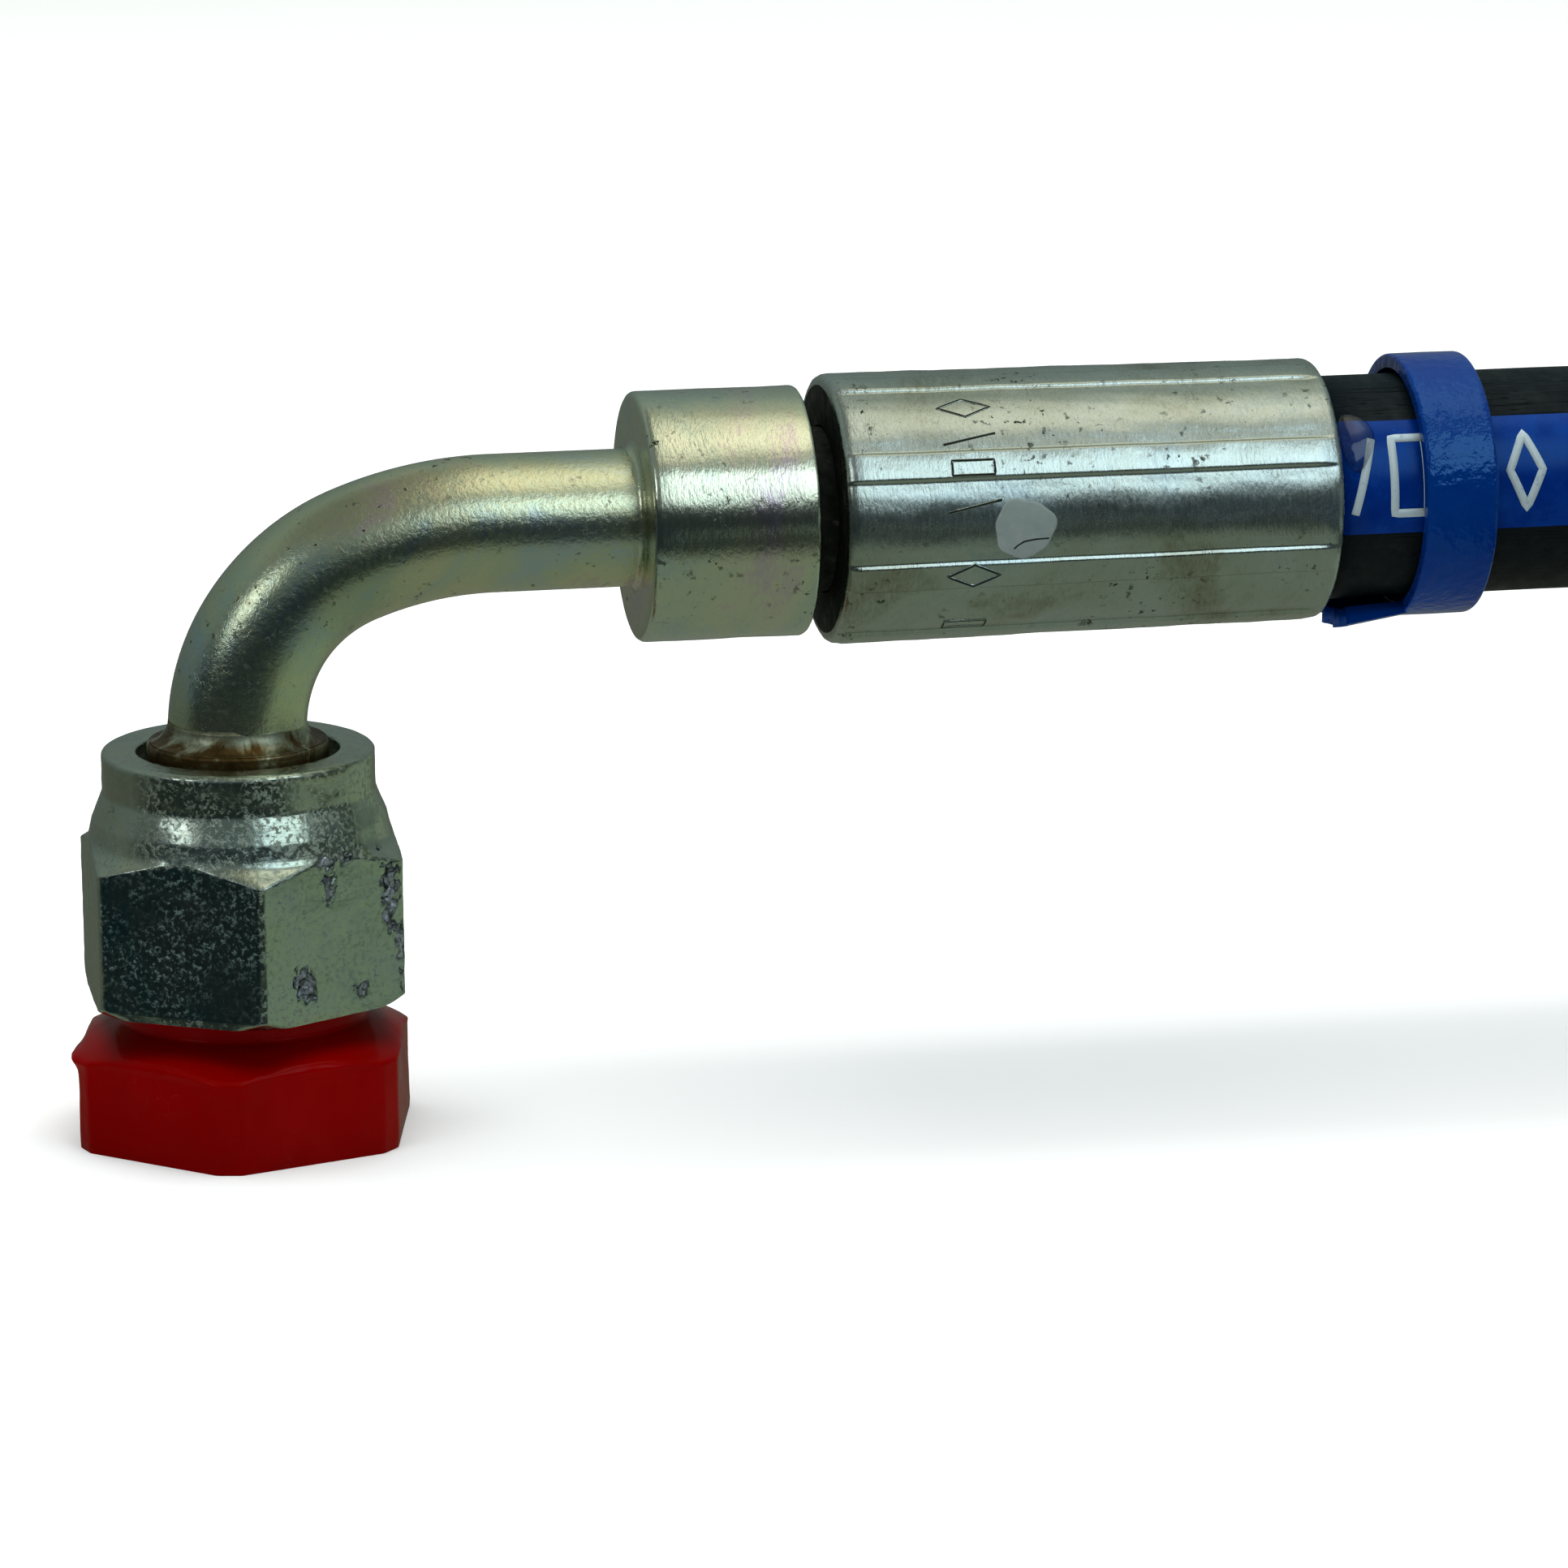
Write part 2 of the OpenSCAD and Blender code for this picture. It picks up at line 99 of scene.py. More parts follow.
def make_camera():
    data = bpy.data.cameras.new("camera")
    data.sensor_width = SENSOR
    data.lens = LENS
    camera = put_in_scene("camera", data)
    sine, cosine = math.sin(CAMERA_AZIMUTH), math.cos(CAMERA_AZIMUTH)
    flat = math.cos(CAMERA_ELEVATION)
    ahead = Vector((sine * flat, cosine * flat, -math.sin(CAMERA_ELEVATION)))
    right = Vector((cosine, -sine, 0))
    up = right.cross(ahead)
    turned_right = right * math.cos(CAMERA_ROLL) + up * math.sin(CAMERA_ROLL)
    turned_up = turned_right.cross(ahead)
    matrix = Matrix((turned_right, turned_up, -ahead)).transposed().to_4x4()
    matrix.translation = CAMERA_TARGET - ahead * CAMERA_DISTANCE
    camera.matrix_world = matrix
    bpy.context.scene.camera = camera


def area_light(name, place, aim, size, power, colour, in_reflections=True):
    data = bpy.data.lights.new(name, "AREA")
    data.shape = "RECTANGLE"
    data.size, data.size_y = size
    data.energy = power
    data.color = colour
    lamp = put_in_scene(name, data)
    lamp.location = place
    lamp.rotation_euler = (Vector(aim) - Vector(place)).to_track_quat("-Z", "Y").to_euler()
    lamp.visible_glossy = in_reflections


LIGHT_AIM = (0.03, 0, 0.035)


def softbox(name, azimuth, elevation, distance, size, power, colour):
    """A lamp aimed at the fittings; azimuth in degrees from -Y towards +X."""
    aim = Vector(LIGHT_AIM)
    turn, rise = math.radians(azimuth), math.radians(elevation)
    away = Vector((math.sin(turn) * math.cos(rise), -math.cos(turn) * math.cos(rise), math.sin(rise)))
    area_light(name, aim + away * distance, aim, size, power, colour)


def make_lights():
    area_light("ceiling", (0.05, 0.1, 1.2), (0.05, 0, 0), (1.4, 1.2), 24, (1.0, 1.0, 1.0), False)
    softbox("right_window", 28, 35, 0.8, (0.5, 0.384), 1.3, (0.74, 0.91, 1.0))
    softbox("left_window", -60, 29, 0.8, (0.24, 0.2), 0.42, (0.9, 0.97, 1.0))


# Light of the sky at heights from straight down (0) to straight up (1), in front and behind
FRONT_SKY = [
    (0.0, (0.20, 0.24, 0.19)), (0.33, (0.20, 0.24, 0.19)), (0.39, (0.022, 0.030, 0.030)),
    (0.55, (0.022, 0.031, 0.036)), (0.62, (0.13, 0.16, 0.17)), (0.78, (0.22, 0.26, 0.27)),
    (0.83, (0.6, 0.62, 0.55)), (0.87, (1.48, 1.46, 1.24)), (1.0, (1.5, 1.48, 1.25)),
]
BACK_SKY = [
    (0.0, (0.20, 0.24, 0.19)), (0.34, (0.20, 0.22, 0.18)), (0.41, (0.11, 0.12, 0.09)),
    (0.5, (0.14, 0.17, 0.16)), (0.72, (0.24, 0.31, 0.30)), (0.86, (0.55, 0.58, 0.48)),
    (0.92, (1.2, 1.2, 1.0)), (1.0, (1.3, 1.28, 1.08)),
]
RIGHT_GLOW = (0.27, 0.34, 0.25)  # a pale wall low down on the right
LEFT_CEILING = (0.20, 0.22, 0.20)  # the ceiling left of the elbow is dim


def make_world():
    """A sky that is dark at the horizon, so that metal shows bands; the camera sees it plain white."""
    world = bpy.data.worlds.new("sky")
    bpy.context.scene.world = world
    world.use_nodes = True
    tree = world.node_tree
    tree.nodes.clear()

    def add(kind, inputs=(), outlet=0, **settings):
        return add_node(tree, kind, inputs, outlet, **settings)

    def stepped(value, low, high):
        values = {"Value": value, "From Min": low, "From Max": high}
        return add("MapRange", values, interpolation_type="SMOOTHSTEP")

    looking = add("SeparateXYZ", {0: add("TexCoord", outlet="Generated")})
    across, along, height = looking.node.outputs
    fall = add("Math", {0: height}, operation="ARCCOSINE")
    share = add("MapRange", {"Value": fall, "From Min": math.pi, "From Max": 0.0})
    skies = []
    for stops in (FRONT_SKY, BACK_SKY):
        sky = add("ValToRGB", {0: share})
        set_stops(sky.node.color_ramp, stops)
        skies.append(sky)
    behind = stepped(along, -0.15, 0.25)
    colour = add("Mix", {0: behind, 6: skies[0], 7: skies[1]}, 2, data_type="RGBA")
    low_down = stepped(height, 0.15, 0.0)
    overhead = stepped(height, 0.68, 0.82)
    patches = [
        (stepped(across, 0.5, 0.75), low_down, RIGHT_GLOW),
        (stepped(across, 0.12, 0.03), overhead, LEFT_CEILING),
    ]
    for sideways, upright, tone in patches:
        share_there = add("Math", {0: sideways, 1: upright}, operation="MULTIPLY")
        colour = add("Mix", {0: share_there, 6: colour, 7: (*tone, 1)}, 2, data_type="RGBA")
    sky = add("Background", {"Color": colour})
    plain = add("Background", {"Color": (1, 1, 1, 1)})
    seen = add("LightPath")
    output = tree.nodes.new("ShaderNodeOutputWorld")
    tree.links.new(add("MixShader", {0: seen, 1: sky, 2: plain}), output.inputs["Surface"])


def set_stops(ramp, stops):
    """Gives a colour ramp these (position, (r, g, b)) stops."""
    while len(ramp.elements) < len(stops):
        ramp.elements.new(1.0)
    for element, (position, colour) in zip(ramp.elements, stops):
        element.position = position
        element.color = (*colour, 1)


# ---- materials


class Shader:
    """A Principled material being wired up, with a short method for each kind of node.

    Keyword sockets, such as roughness=0.4, are set on the shader's own sockets.
    """

    def __init__(self, name, **sockets):
        self.material = bpy.data.materials.new(name)
        self.material.use_nodes = True
        self.tree = self.material.node_tree
        self.surface = self.tree.nodes["Principled BSDF"]
        for key, value in sockets.items():
            self.socket(key).default_value = value
        self.coords = self.add("TexCoord", outlet="Object")

    def socket(self, key):
        """The shader's own socket for a keyword, such as base_color."""
        return self.surface.inputs[key.replace("_", " ").title().replace("Ior", "IOR")]

    def add(self, kind, values=(), outlet=0, **settings):
        return add_node(self.tree, kind, values, outlet, **settings)

    def stretch(self, scale, turn=(0, 0, 0), vector=None):
        return self.add("Mapping", {"Vector": vector or self.coords, "Scale": scale, "Rotation": turn})

    def noise(self, scale, detail=4, roughness=0.55, vector=None, distortion=0.0):
        values = {"Vector": vector or self.coords, "Scale": scale, "Detail": detail}
        return self.add("TexNoise", {**values, "Roughness": roughness, "Distortion": distortion})

    def calc(self, operation, a, b=0.0, clamp=False):
        return self.add("Math", {0: a, 1: b}, operation=operation, use_clamp=clamp)

    def times(self, a, b):
        return self.calc("MULTIPLY", a, b)

    def plus(self, a, b, clamp=False):
        return self.calc("ADD", a, b, clamp)

    def centred(self, value):
        """A noise's value moved to swing about nought."""
        return self.calc("SUBTRACT", value, 0.5)

    def place(self, axis):
        """The object coordinate X, Y or Z, in metres."""
        return self.add("SeparateXYZ", {0: self.coords}, axis)

    def between(self, value, low, high, to_low=0.0, to_high=1.0):
        values = {"Value": value, "From Min": low, "From Max": high, "To Min": to_low, "To Max": to_high}
        return self.add("MapRange", values)

    def ramp(self, value, *stops):
        out = self.add("ValToRGB", {0: value})
        set_stops(out.node.color_ramp, stops)
        return out

    def mix(self, share, a, b, blend="MIX"):
        """Colours a and b mixed; each is a socket or an (r, g, b)."""
        a, b = ((*c, 1) if isinstance(c, tuple) else c for c in (a, b))
        return self.add("Mix", {0: share, 6: a, 7: b}, 2, data_type="RGBA", blend_type=blend)

    def bump(self, height, distance, strength=1.0, under=None):
        values = {"Height": height, "Distance": distance, "Strength": strength}
        return self.add("Bump", {**values, "Normal": under} if under else values)

    def plain(self, pattern, tones, rough, ripple, height=None):
        """Wires one pattern to the tone and roughness; ripple is the depth and strength of the bump."""
        return self.wire(
            base_color=self.ramp(pattern, *tones),
            roughness=self.between(pattern, 0.3, 0.7, *rough),
            normal=self.bump(height or pattern, *ripple),
        )

    def wire(self, **sockets):
        for key, source in sockets.items():
            self.tree.links.new(source, self.socket(key))
        return self.material


def scratches(shader, scale, turn, width):
    """Thin lines where a noise drawn out along one direction passes its middle; 1 on a line."""
    drawn = shader.stretch((scale, scale * 0.06, scale * 0.5), turn)
    off_line = shader.calc("ABSOLUTE", shader.centred(shader.noise(1, 2, 0.5, drawn, 0.4)))
    patches = shader.between(shader.noise(170, 3), 0.54, 0.7)
    return shader.times(shader.between(off_line, 0, width, 1, 0), patches)


def crossed_scratches(shader):
    one = scratches(shader, 1500, (0.4, 0.9, 0.2), 0.014)
    return shader.calc("MAXIMUM", one, scratches(shader, 1100, (1.3, 0.2, 1.0), 0.012))


FINE = (2600, 2600, 2600)
# Multiplied into the colour left of that x, so the tube is darker towards its bend.
BEND_DARKENING = (0.8, 0.86, 0.88)
GRIME_TONE = (0.035, 0.032, 0.02)


def zinc_material(name, tints, streaks=FINE, rough=(0.14, 0.27), darker_left_of_x=None):
    """Passivated zinc plating: clouds of tint, fine sparkling grain, dark specks and a few scratches.

    streaks is the scale of the grain along each axis. Left of the x given last (in metres) its colour is
    darker.
    """
    s = Shader(name, metallic=1.0)
    cloud = s.noise(75, 5, 0.6, distortion=0.8)
    grain = s.noise(1, 4, 0.65, s.stretch(streaks))
    speckle = s.plus(cloud, s.times(s.centred(grain), 0.25))
    colour = s.ramp(speckle, *tints)
    if darker_left_of_x is not None:
        edge = s.plus(s.place("X"), s.times(s.centred(speckle), 0.02))
        colour = s.mix(s.between(edge, darker_left_of_x + 0.002, darker_left_of_x - 0.002), colour, BEND_DARKENING, "MULTIPLY")
    specks = s.between(s.noise(1300, 4, 0.65), 0.61, 0.66)
    smudge = s.between(s.noise(130, 5, 0.65), 0.45, 0.62, 0.05, 1.0)
    soil = s.times(specks, smudge)
    colour = s.mix(soil, colour, GRIME_TONE)
    worn = crossed_scratches(s)
    colour = s.mix(s.times(worn, 0.22), colour, (0.75, 0.76, 0.7))
    mixed = s.plus(s.times(grain, 0.6), s.times(cloud, 0.4))
    roughness = s.between(mixed, 0.3, 0.7, *rough)
    roughness = s.plus(roughness, s.times(soil, 0.3), True)
    normal = s.bump(grain, 0.00004, 0.8)
    normal = s.bump(s.plus(soil, worn), 0.00002, 0.4, normal)
    return s.wire(base_color=colour, roughness=roughness, normal=normal)


TUBE_TINTS = [
    (0.36, (0.52, 0.60, 0.60)), (0.47, (0.60, 0.64, 0.46)), (0.56, (0.70, 0.68, 0.44)),
    (0.64, (0.62, 0.53, 0.49)), (0.74, (0.44, 0.53, 0.60)),
]
COLLAR_TINTS = [
    (0.36, (0.50, 0.60, 0.58)), (0.46, (0.62, 0.67, 0.52)), (0.55, (0.69, 0.69, 0.52)),
    (0.63, (0.67, 0.56, 0.58)), (0.73, (0.52, 0.62, 0.68)),
]
FERRULE_TINTS = [
    (0.34, (0.30, 0.29, 0.21)), (0.46, (0.45, 0.49, 0.43)), (0.58, (0.51, 0.56, 0.52)),
    (0.74, (0.40, 0.49, 0.50)),
]
# Scales of the turning marks left round a part's axis
AROUND_X = (4200, 1500, 1500)
AROUND_Z = (240, 240, 5200)
TORN_DEEP = (0.012, 0.016, 0.018)
TORN_BRIGHT = (0.60, 0.62, 0.68)


def nut_material():
    """Nut plating, with painted shade (a dark tone) on marked flats, and torn in places, where the mesh's
    own attributes say.
    """
    s = Shader("nut_plating", metallic=1.0)
    flat, painted_shade_flats, torn = (
        s.add("Attribute", outlet="Fac", attribute_name=name) for name in ("flat", "painted_shade_flats", "torn")
    )
    cloud = s.noise(120, 5, 0.6, distortion=0.8)
    grain = s.noise(2800, 4, 0.7)
    marks = s.noise(1, 3, 0.6, s.stretch(AROUND_Z))
    ragged = s.times(s.centred(grain), 0.9)
    flat = s.between(s.plus(flat, ragged), 0.35, 0.65)
    # Painted shade: the hex flats marked in the mesh take the dark tones below.
    flat_shade_mask = s.times(s.between(s.plus(painted_shade_flats, ragged), 0.35, 0.65), flat)
    turned, pale, dark = (
        s.ramp(cloud, *zip((0.35, 0.5, top), tones))
        for top, tones in (
            (0.65, ((0.34, 0.40, 0.35), (0.43, 0.48, 0.40), (0.46, 0.48, 0.36))),
            (0.65, ((0.37, 0.44, 0.42), (0.43, 0.50, 0.40), (0.41, 0.48, 0.44))),
            (0.68, ((0.05, 0.12, 0.15), (0.09, 0.14, 0.14), (0.12, 0.15, 0.16))),
        )
    )
    fleck = s.between(s.noise(2900, 5, 0.7), 0.53, 0.68)
    fleck = s.times(fleck, s.between(s.noise(240, 3), 0.36, 0.6, 0.2, 1.0))
    dark = s.mix(s.times(fleck, 0.8), dark, (0.55, 0.70, 0.70))
    colour = s.mix(flat, turned, pale)
    colour = s.mix(flat_shade_mask, colour, dark)
    specks = s.between(s.noise(1000, 7, 0.75, distortion=0.6), 0.62, 0.69)
    soil = s.times(specks, s.between(s.noise(170, 4), 0.42, 0.66, 0.1, 0.9))
    colour = s.mix(soil, colour, (0.035, 0.035, 0.03))
    shred = s.between(s.noise(1100, 6, 0.75, distortion=1.2), 0.4, 0.54)
    torn_tone = s.mix(shred, TORN_DEEP, TORN_BRIGHT)
    depth = s.plus(torn, s.times(ragged, 1.3))
    hurt = s.between(depth, 0.36, 0.5)
    rim = s.between(depth, 0.62, 0.85)
    colour = s.mix(hurt, colour, s.mix(rim, s.mix(0.75, torn_tone, TORN_DEEP), torn_tone))
    colour = s.mix(s.times(crossed_scratches(s), 0.25), colour, (0.62, 0.66, 0.6))
    roughness = s.between(grain, 0.3, 0.7, 0.12, 0.27)
    roughness = s.plus(roughness, s.times(s.calc("MAXIMUM", hurt, flat_shade_mask), 0.14), True)
    normal = s.bump(grain, 0.000018, 0.8)
    normal = s.bump(marks, 0.000012, 0.5, normal)
    normal = s.bump(s.plus(s.times(hurt, shred), fleck), 0.00005, 0.7, normal)
    return s.wire(base_color=colour, roughness=roughness, normal=normal)


def braze_material():
    """Zinc over brazing: burnt brown along the joint, plated above it, with bright rubbed spots."""
    s = Shader("braze", metallic=0.9)
    cloud = s.noise(330, 6, 0.72, distortion=0.6)
    joint = (NUT_MOUTH + SLEEVE_L) * MM
    above = s.plus(s.place("Z"), s.times(s.centred(cloud), 0.004))
    burnt = ((0.34, (0.03, 0.014, 0.004)), (0.52, (0.10, 0.06, 0.018)))
    plated = ((0.6, (0.17, 0.15, 0.08)), (0.7, (0.60, 0.60, 0.46)))
    roughness = s.between(cloud, 0.35, 0.7, 0.6, 0.22)
    normal = s.bump(s.noise(1700, 5, 0.7), 0.00003, 0.8)
    tone = s.ramp(cloud, *burnt, *plated)
    zinc = ((0.35, (0.14, 0.12, 0.06)), (0.5, (0.22, 0.23, 0.15)), (0.65, (0.36, 0.38, 0.28)))
    tone = s.mix(s.between(above, joint + 0.0004, joint + 0.0011), tone, s.ramp(cloud, *zinc))
    return s.wire(base_color=tone, roughness=roughness, normal=normal)


def painted_shade_and_scratch_material():
    """Painted shade: a near-black tone for the narrow gap behind the collar, the ferrules' inner faces at
    their stem ends and the stamps' tops; it also colours the scratch in the paint dot.
    """
    s = Shader("painted_shade_and_scratch", metallic=0.2, specular_ior_level=0.2)
    cloud = s.noise(900, 5, 0.7)
    tones = ((0.35, (0.004, 0.005, 0.004)), (0.6, (0.012, 0.014, 0.010)), (0.75, (0.05, 0.05, 0.04)))
    return s.plain(cloud, tones, (0.75, 0.5), (0.00004, 0.6))


def rubber_material():
    """Matt black hose cover, on the hose's own UV: faint cloth wrap, dust and short cuts along it."""
    s = Shader("hose_cover", specular_ior_level=0.16)
    uv = s.add("UVMap", uv_map="along_hose")
    wrap = s.noise(1, 3, 0.6, s.stretch((900, 26, 1), (0, 0, 0.25), uv))
    weave = s.noise(1, 2, 0.5, s.stretch((260, 300, 1), (0, 0, 0), uv))
    dust = s.between(s.noise(600, 6, 0.75), 0.5, 0.75)
    cuts = s.noise(1, 2, 0.5, s.stretch((70, 160, 1), (0, 0, 0), uv), 0.3)
    cut = s.between(s.calc("ABSOLUTE", s.centred(cuts)), 0, 0.012, 1, 0)
    cut = s.times(cut, s.between(s.noise(70, 2), 0.55, 0.6))
    colour = s.mix(s.times(dust, 0.6), (0.002, 0.0045, 0.006), (0.010, 0.014, 0.014))
    colour = s.mix(cut, colour, (0.001, 0.001, 0.001))
    roughness = s.between(wrap, 0.3, 0.7, 0.45, 0.65)
    normal = s.bump(s.plus(wrap, s.times(weave, 0.6)), 0.00006, 0.5)
    normal = s.bump(cut, -0.0002, 0.8, normal)
    return s.wire(base_color=colour, roughness=roughness, normal=normal)


BLUE_SHEEN = (0.25, 0.6, 1.0, 1)


def stripe_material():
    """Glossy blue stripe printed on the hose, slightly mottled."""
    s = Shader("blue_stripe", specular_ior_level=0.3, specular_tint=BLUE_SHEEN)
    mottle = s.noise(420, 4, 0.6)
    tones = ((0.35, (0.0, 0.014, 0.13)), (0.55, (0.0, 0.020, 0.16)), (0.75, (0.0, 0.030, 0.20)))
    return s.plain(mottle, tones, (0.2, 0.34), (0.00012, 0.35), s.noise(300, 3, 0.55))


def print_material():
    """White print, worn thin in spots so that the blue shows."""
    s = Shader("white_print", specular_ior_level=0.35)
    worn = s.between(s.noise(2200, 5, 0.7), 0.56, 0.7)
    colour = s.mix(s.times(worn, 0.5), (0.34, 0.42, 0.44), (0.05, 0.11, 0.26))
    return s.wire(base_color=colour, roughness=s.between(worn, 0, 1, 0.3, 0.45))


def plastic_material(name, deep, bright, scuff, scuff_share, rough, ripple=(220, 0.00016), **sockets):
    """Moulded plastic with a slow change of tone, ripples of a scale and depth, and pale scuffs."""
    s = Shader(name, **sockets)
    tone = s.noise(120, 3, 0.5)
    colour = s.ramp(tone, (0.3, deep), (0.7, bright))
    spots = s.between(s.noise(1900, 6, 0.75), 0.68, 0.76)
    spots = s.times(spots, s.between(s.noise(150, 2), 0.5, 0.65))
    scuffs = s.calc("MAXIMUM", scratches(s, 900, (0.2, 0.5, 0.9), 0.012), spots)
    colour = s.mix(s.times(scuffs, scuff_share), colour, scuff)
    roughness = s.plus(s.between(s.noise(300, 4), 0.3, 0.7, *rough), s.times(scuffs, 0.25), True)
    normal = s.bump(s.noise(ripple[0], 3, 0.5), ripple[1], 0.3)
    normal = s.bump(scuffs, 0.00003, 0.5, normal)
    return s.wire(base_color=colour, roughness=roughness, normal=normal)


def paint_material():
    """Grey-white inspection paint, thin and cloudy."""
    s = Shader("inspection_paint", specular_ior_level=0.3)
    tones = ((0.3, (0.16, 0.20, 0.19)), (0.6, (0.19, 0.23, 0.215)), (0.8, (0.23, 0.27, 0.25)))
    return s.plain(s.noise(800, 5, 0.65), tones, (0.35, 0.6), (0.00003, 0.6))


def wire_material():
    """Brass-coated steel wire braid, crossing lays."""
    s = Shader("wire_braid", metallic=1.0)
    one, two = (
        s.add("TexWave", {"Vector": s.stretch((1, 1, 1), (0, 0, turn)), "Scale": 700}, 1)
        for turn in (0.9, -0.9)
    )
    lay = s.calc("MAXIMUM", one, two)
    colour = s.ramp(lay, (0.2, (0.16, 0.13, 0.08)), (0.8, (0.62, 0.56, 0.40)))
    roughness = s.between(lay, 0, 1, 0.5, 0.28)
    return s.wire(base_color=colour, roughness=roughness, normal=s.bump(lay, 0.0002, 0.8))


def glue_material():
    """Clear set glue."""
    s = Shader("clear_film", transmission_weight=1.0, ior=1.45)
    tones = ((0.3, (0.86, 0.90, 0.90)), (0.7, (0.95, 0.97, 0.96)))
    return s.plain(s.noise(700, 3), tones, (0.03, 0.1), (0.00008, 0.4))


def floor_material():
    s = Shader("floor", roughness=0.7)
    tone = s.noise(3, 2)
    colour = s.ramp(tone, (0.3, (0.86, 0.86, 0.86)), (0.7, (0.88, 0.88, 0.88)))
    return s.wire(base_color=colour)


# ---- mesh tools


class Piece:
    """Vertices in millimetres and faces gathered from one or more shapes, made into one object."""

    def __init__(self):
        self.points, self.faces, self.paint = [], [], []

    def grid(self, rows, paint=0, close_rows=False, flip=False):
        """Quads over rows of points; paint is a material index or a function of row and column."""
        start = sum(len(p) for p in self.points)
        rows = np.asarray(rows, float)
        count, width = rows.shape[:2]
        self.points.append(rows.reshape(-1, 3))
        for i in range(count if close_rows else count - 1):
            for k in range(width):
                below, beside = (i + 1) % count, (k + 1) % width
                corners = [(i, k), (i, beside), (below, beside), (below, k)]
                face = [start + a * width + b for a, b in corners]
                self.faces.append(face[::-1] if flip else face)
                self.paint.append(paint(i, k) if callable(paint) else paint)
        return start

    def cap(self, ring, paint=0, flip=False):
        """A fan of triangles over a closed ring of vertex numbers."""
        everything = np.concatenate(self.points)
        centre = len(everything)
        self.points.append(everything[list(ring)].mean(0)[None])
        for a, b in zip(ring, list(ring[1:]) + [ring[0]]):
            self.faces.append([centre, b, a] if flip else [centre, a, b])
            self.paint.append(paint)

    def rod(self, rows, paint=0, flip=False, end_paint=0):
        """A grid whose rows are closed rings, with a cap at each end."""
        width = len(rows[0])
        first = self.grid(rows, paint, flip=flip)
        last = first + width * (len(rows) - 1)
        self.cap(list(range(first, first + width)), end_paint, not flip)
        self.cap(list(range(last, last + width)), end_paint, flip)

    def make(self, name, body, materials, replaces=(), attributes=None):
        """The finished object, riding on a body and standing for the CAD nodes in replaces."""
        mesh = bpy.data.meshes.new(name)
        mesh.from_pydata(np.concatenate(self.points) * MM, [], self.faces)
        for material in materials:
            mesh.materials.append(material)
        mesh.polygons.foreach_set("material_index", self.paint)
        mesh.polygons.foreach_set("use_smooth", [True] * len(self.faces))
        for key, values in (attributes or {}).items():
            mesh.attributes.new(key, "FLOAT", "POINT").data.foreach_set("value", np.ravel(values))
        mesh.validate()
        shell = bmesh.new()
        shell.from_mesh(mesh)
        bmesh.ops.recalc_face_normals(shell, faces=shell.faces)
        shell.to_mesh(mesh)
        shell.free()
        mesh.update()
        thing = put_in_scene(name, mesh)
        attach(thing, body)
        if replaces:
            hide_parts(*replaces)
        return thing


def rounded(points, steps=4):
    """A closed outline with its corners rounded. Each point is (r, z) or (r, z, radius)."""
    out = []
    count = len(points)
    for i, point in enumerate(points):
        here = np.array(point[:2], float)
        radius = point[2] if len(point) > 2 else 0
        before = np.array(points[i - 1][:2], float) - here
        after = np.array(points[(i + 1) % count][:2], float) - here
        reach_before, reach_after = np.linalg.norm(before), np.linalg.norm(after)
        if not radius:
            out.append(here)
            continue
        before, after = before / reach_before, after / reach_after
        half = math.acos(max(-1, min(1, before @ after))) / 2
        cut = min(radius / math.tan(half), reach_before * 0.49, reach_after * 0.49)
        start, end = here + before * cut, here + after * cut
        for t in np.linspace(0, 1, steps + 1):
            out.append((1 - t) ** 2 * start + 2 * t * (1 - t) * here + t * t * end)
    return np.array(out)


def filled_in(outline, step):
    """The closed outline with points added so that none are further apart than step."""
    out = []
    for a, b in zip(outline, np.roll(outline, -1, 0)):
        pieces = max(1, math.ceil(np.linalg.norm(b - a) / step))
        out += [a + (b - a) * t for t in np.arange(pieces) / pieces]
    return np.array(out)


def turned_rows(outline, angles, radius=None):
    """Rows of points of an (r, z) outline turned round Z; radius(r, z, angles) may change the radii."""
    rows = []
    for r, z in outline:
        radii = radius(r, z, angles) if radius else np.full(len(angles), r)
        rows.append(np.stack([radii * np.cos(angles), radii * np.sin(angles), np.full(len(angles), z)], 1))
    return np.array(rows)


def placed(rows, origin, along_x=False):
    """Rows moved to origin; with along_x, the local Z axis is first laid along +X, as in the CAD."""
    rows = np.asarray(rows, float)
    if along_x:
        rows = np.stack([rows[..., 2], rows[..., 1], -rows[..., 0]], -1)
    return rows + np.asarray(origin, float)


def full_turn(count):
    return np.arange(count) * TAU / count


def turn_between(angles, degrees):
    """Angles measured from a direction in degrees, from -pi to pi."""
    return (angles - math.radians(degrees) + math.pi) % TAU - math.pi


def hexagon_radius(angles, across_flats, phase, sharpness=70):
    """Distance from the axis to a hexagon's side, with slightly rounded corners."""
    normals = phase + full_turn(6)
    reach = np.clip(np.cos(angles[:, None] - normals[None]), 0, None) / (across_flats / 2)
    return 1 / (reach**sharpness).sum(1) ** (1 / sharpness)


def soft_min(a, b, blend):
    """The smaller of a and b, with a rounded crossing about blend wide."""
    h = np.clip(0.5 + 0.5 * (b - a) / blend, 0, 1)
    return b * (1 - h) + a * h - blend * h * (1 - h)


def smooth_step(x, low, high):
    t = np.clip((np.asarray(x, float) - low) / (high - low), 0, 1)
    return t * t * (3 - 2 * t)


def rough(rows, size, height, seed):
    """A slow, smooth noise over points in space: a sum of waves in set random directions."""
    draw = np.random.default_rng(seed)
    waves = 14
    turns = draw.normal(size=(3, waves)) / size * 2.2
    return height * 0.35 * np.sin(np.asarray(rows) @ turns + draw.uniform(0, TAU, waves)).sum(-1)


def pushed_out(rows, amount):
    """Rows of points moved away from the Z axis by amount."""
    away = rows * np.array([1, 1, 0])
    away /= np.linalg.norm(away, axis=-1)[..., None]
    return rows + away * amount[..., None]


# ---- hose

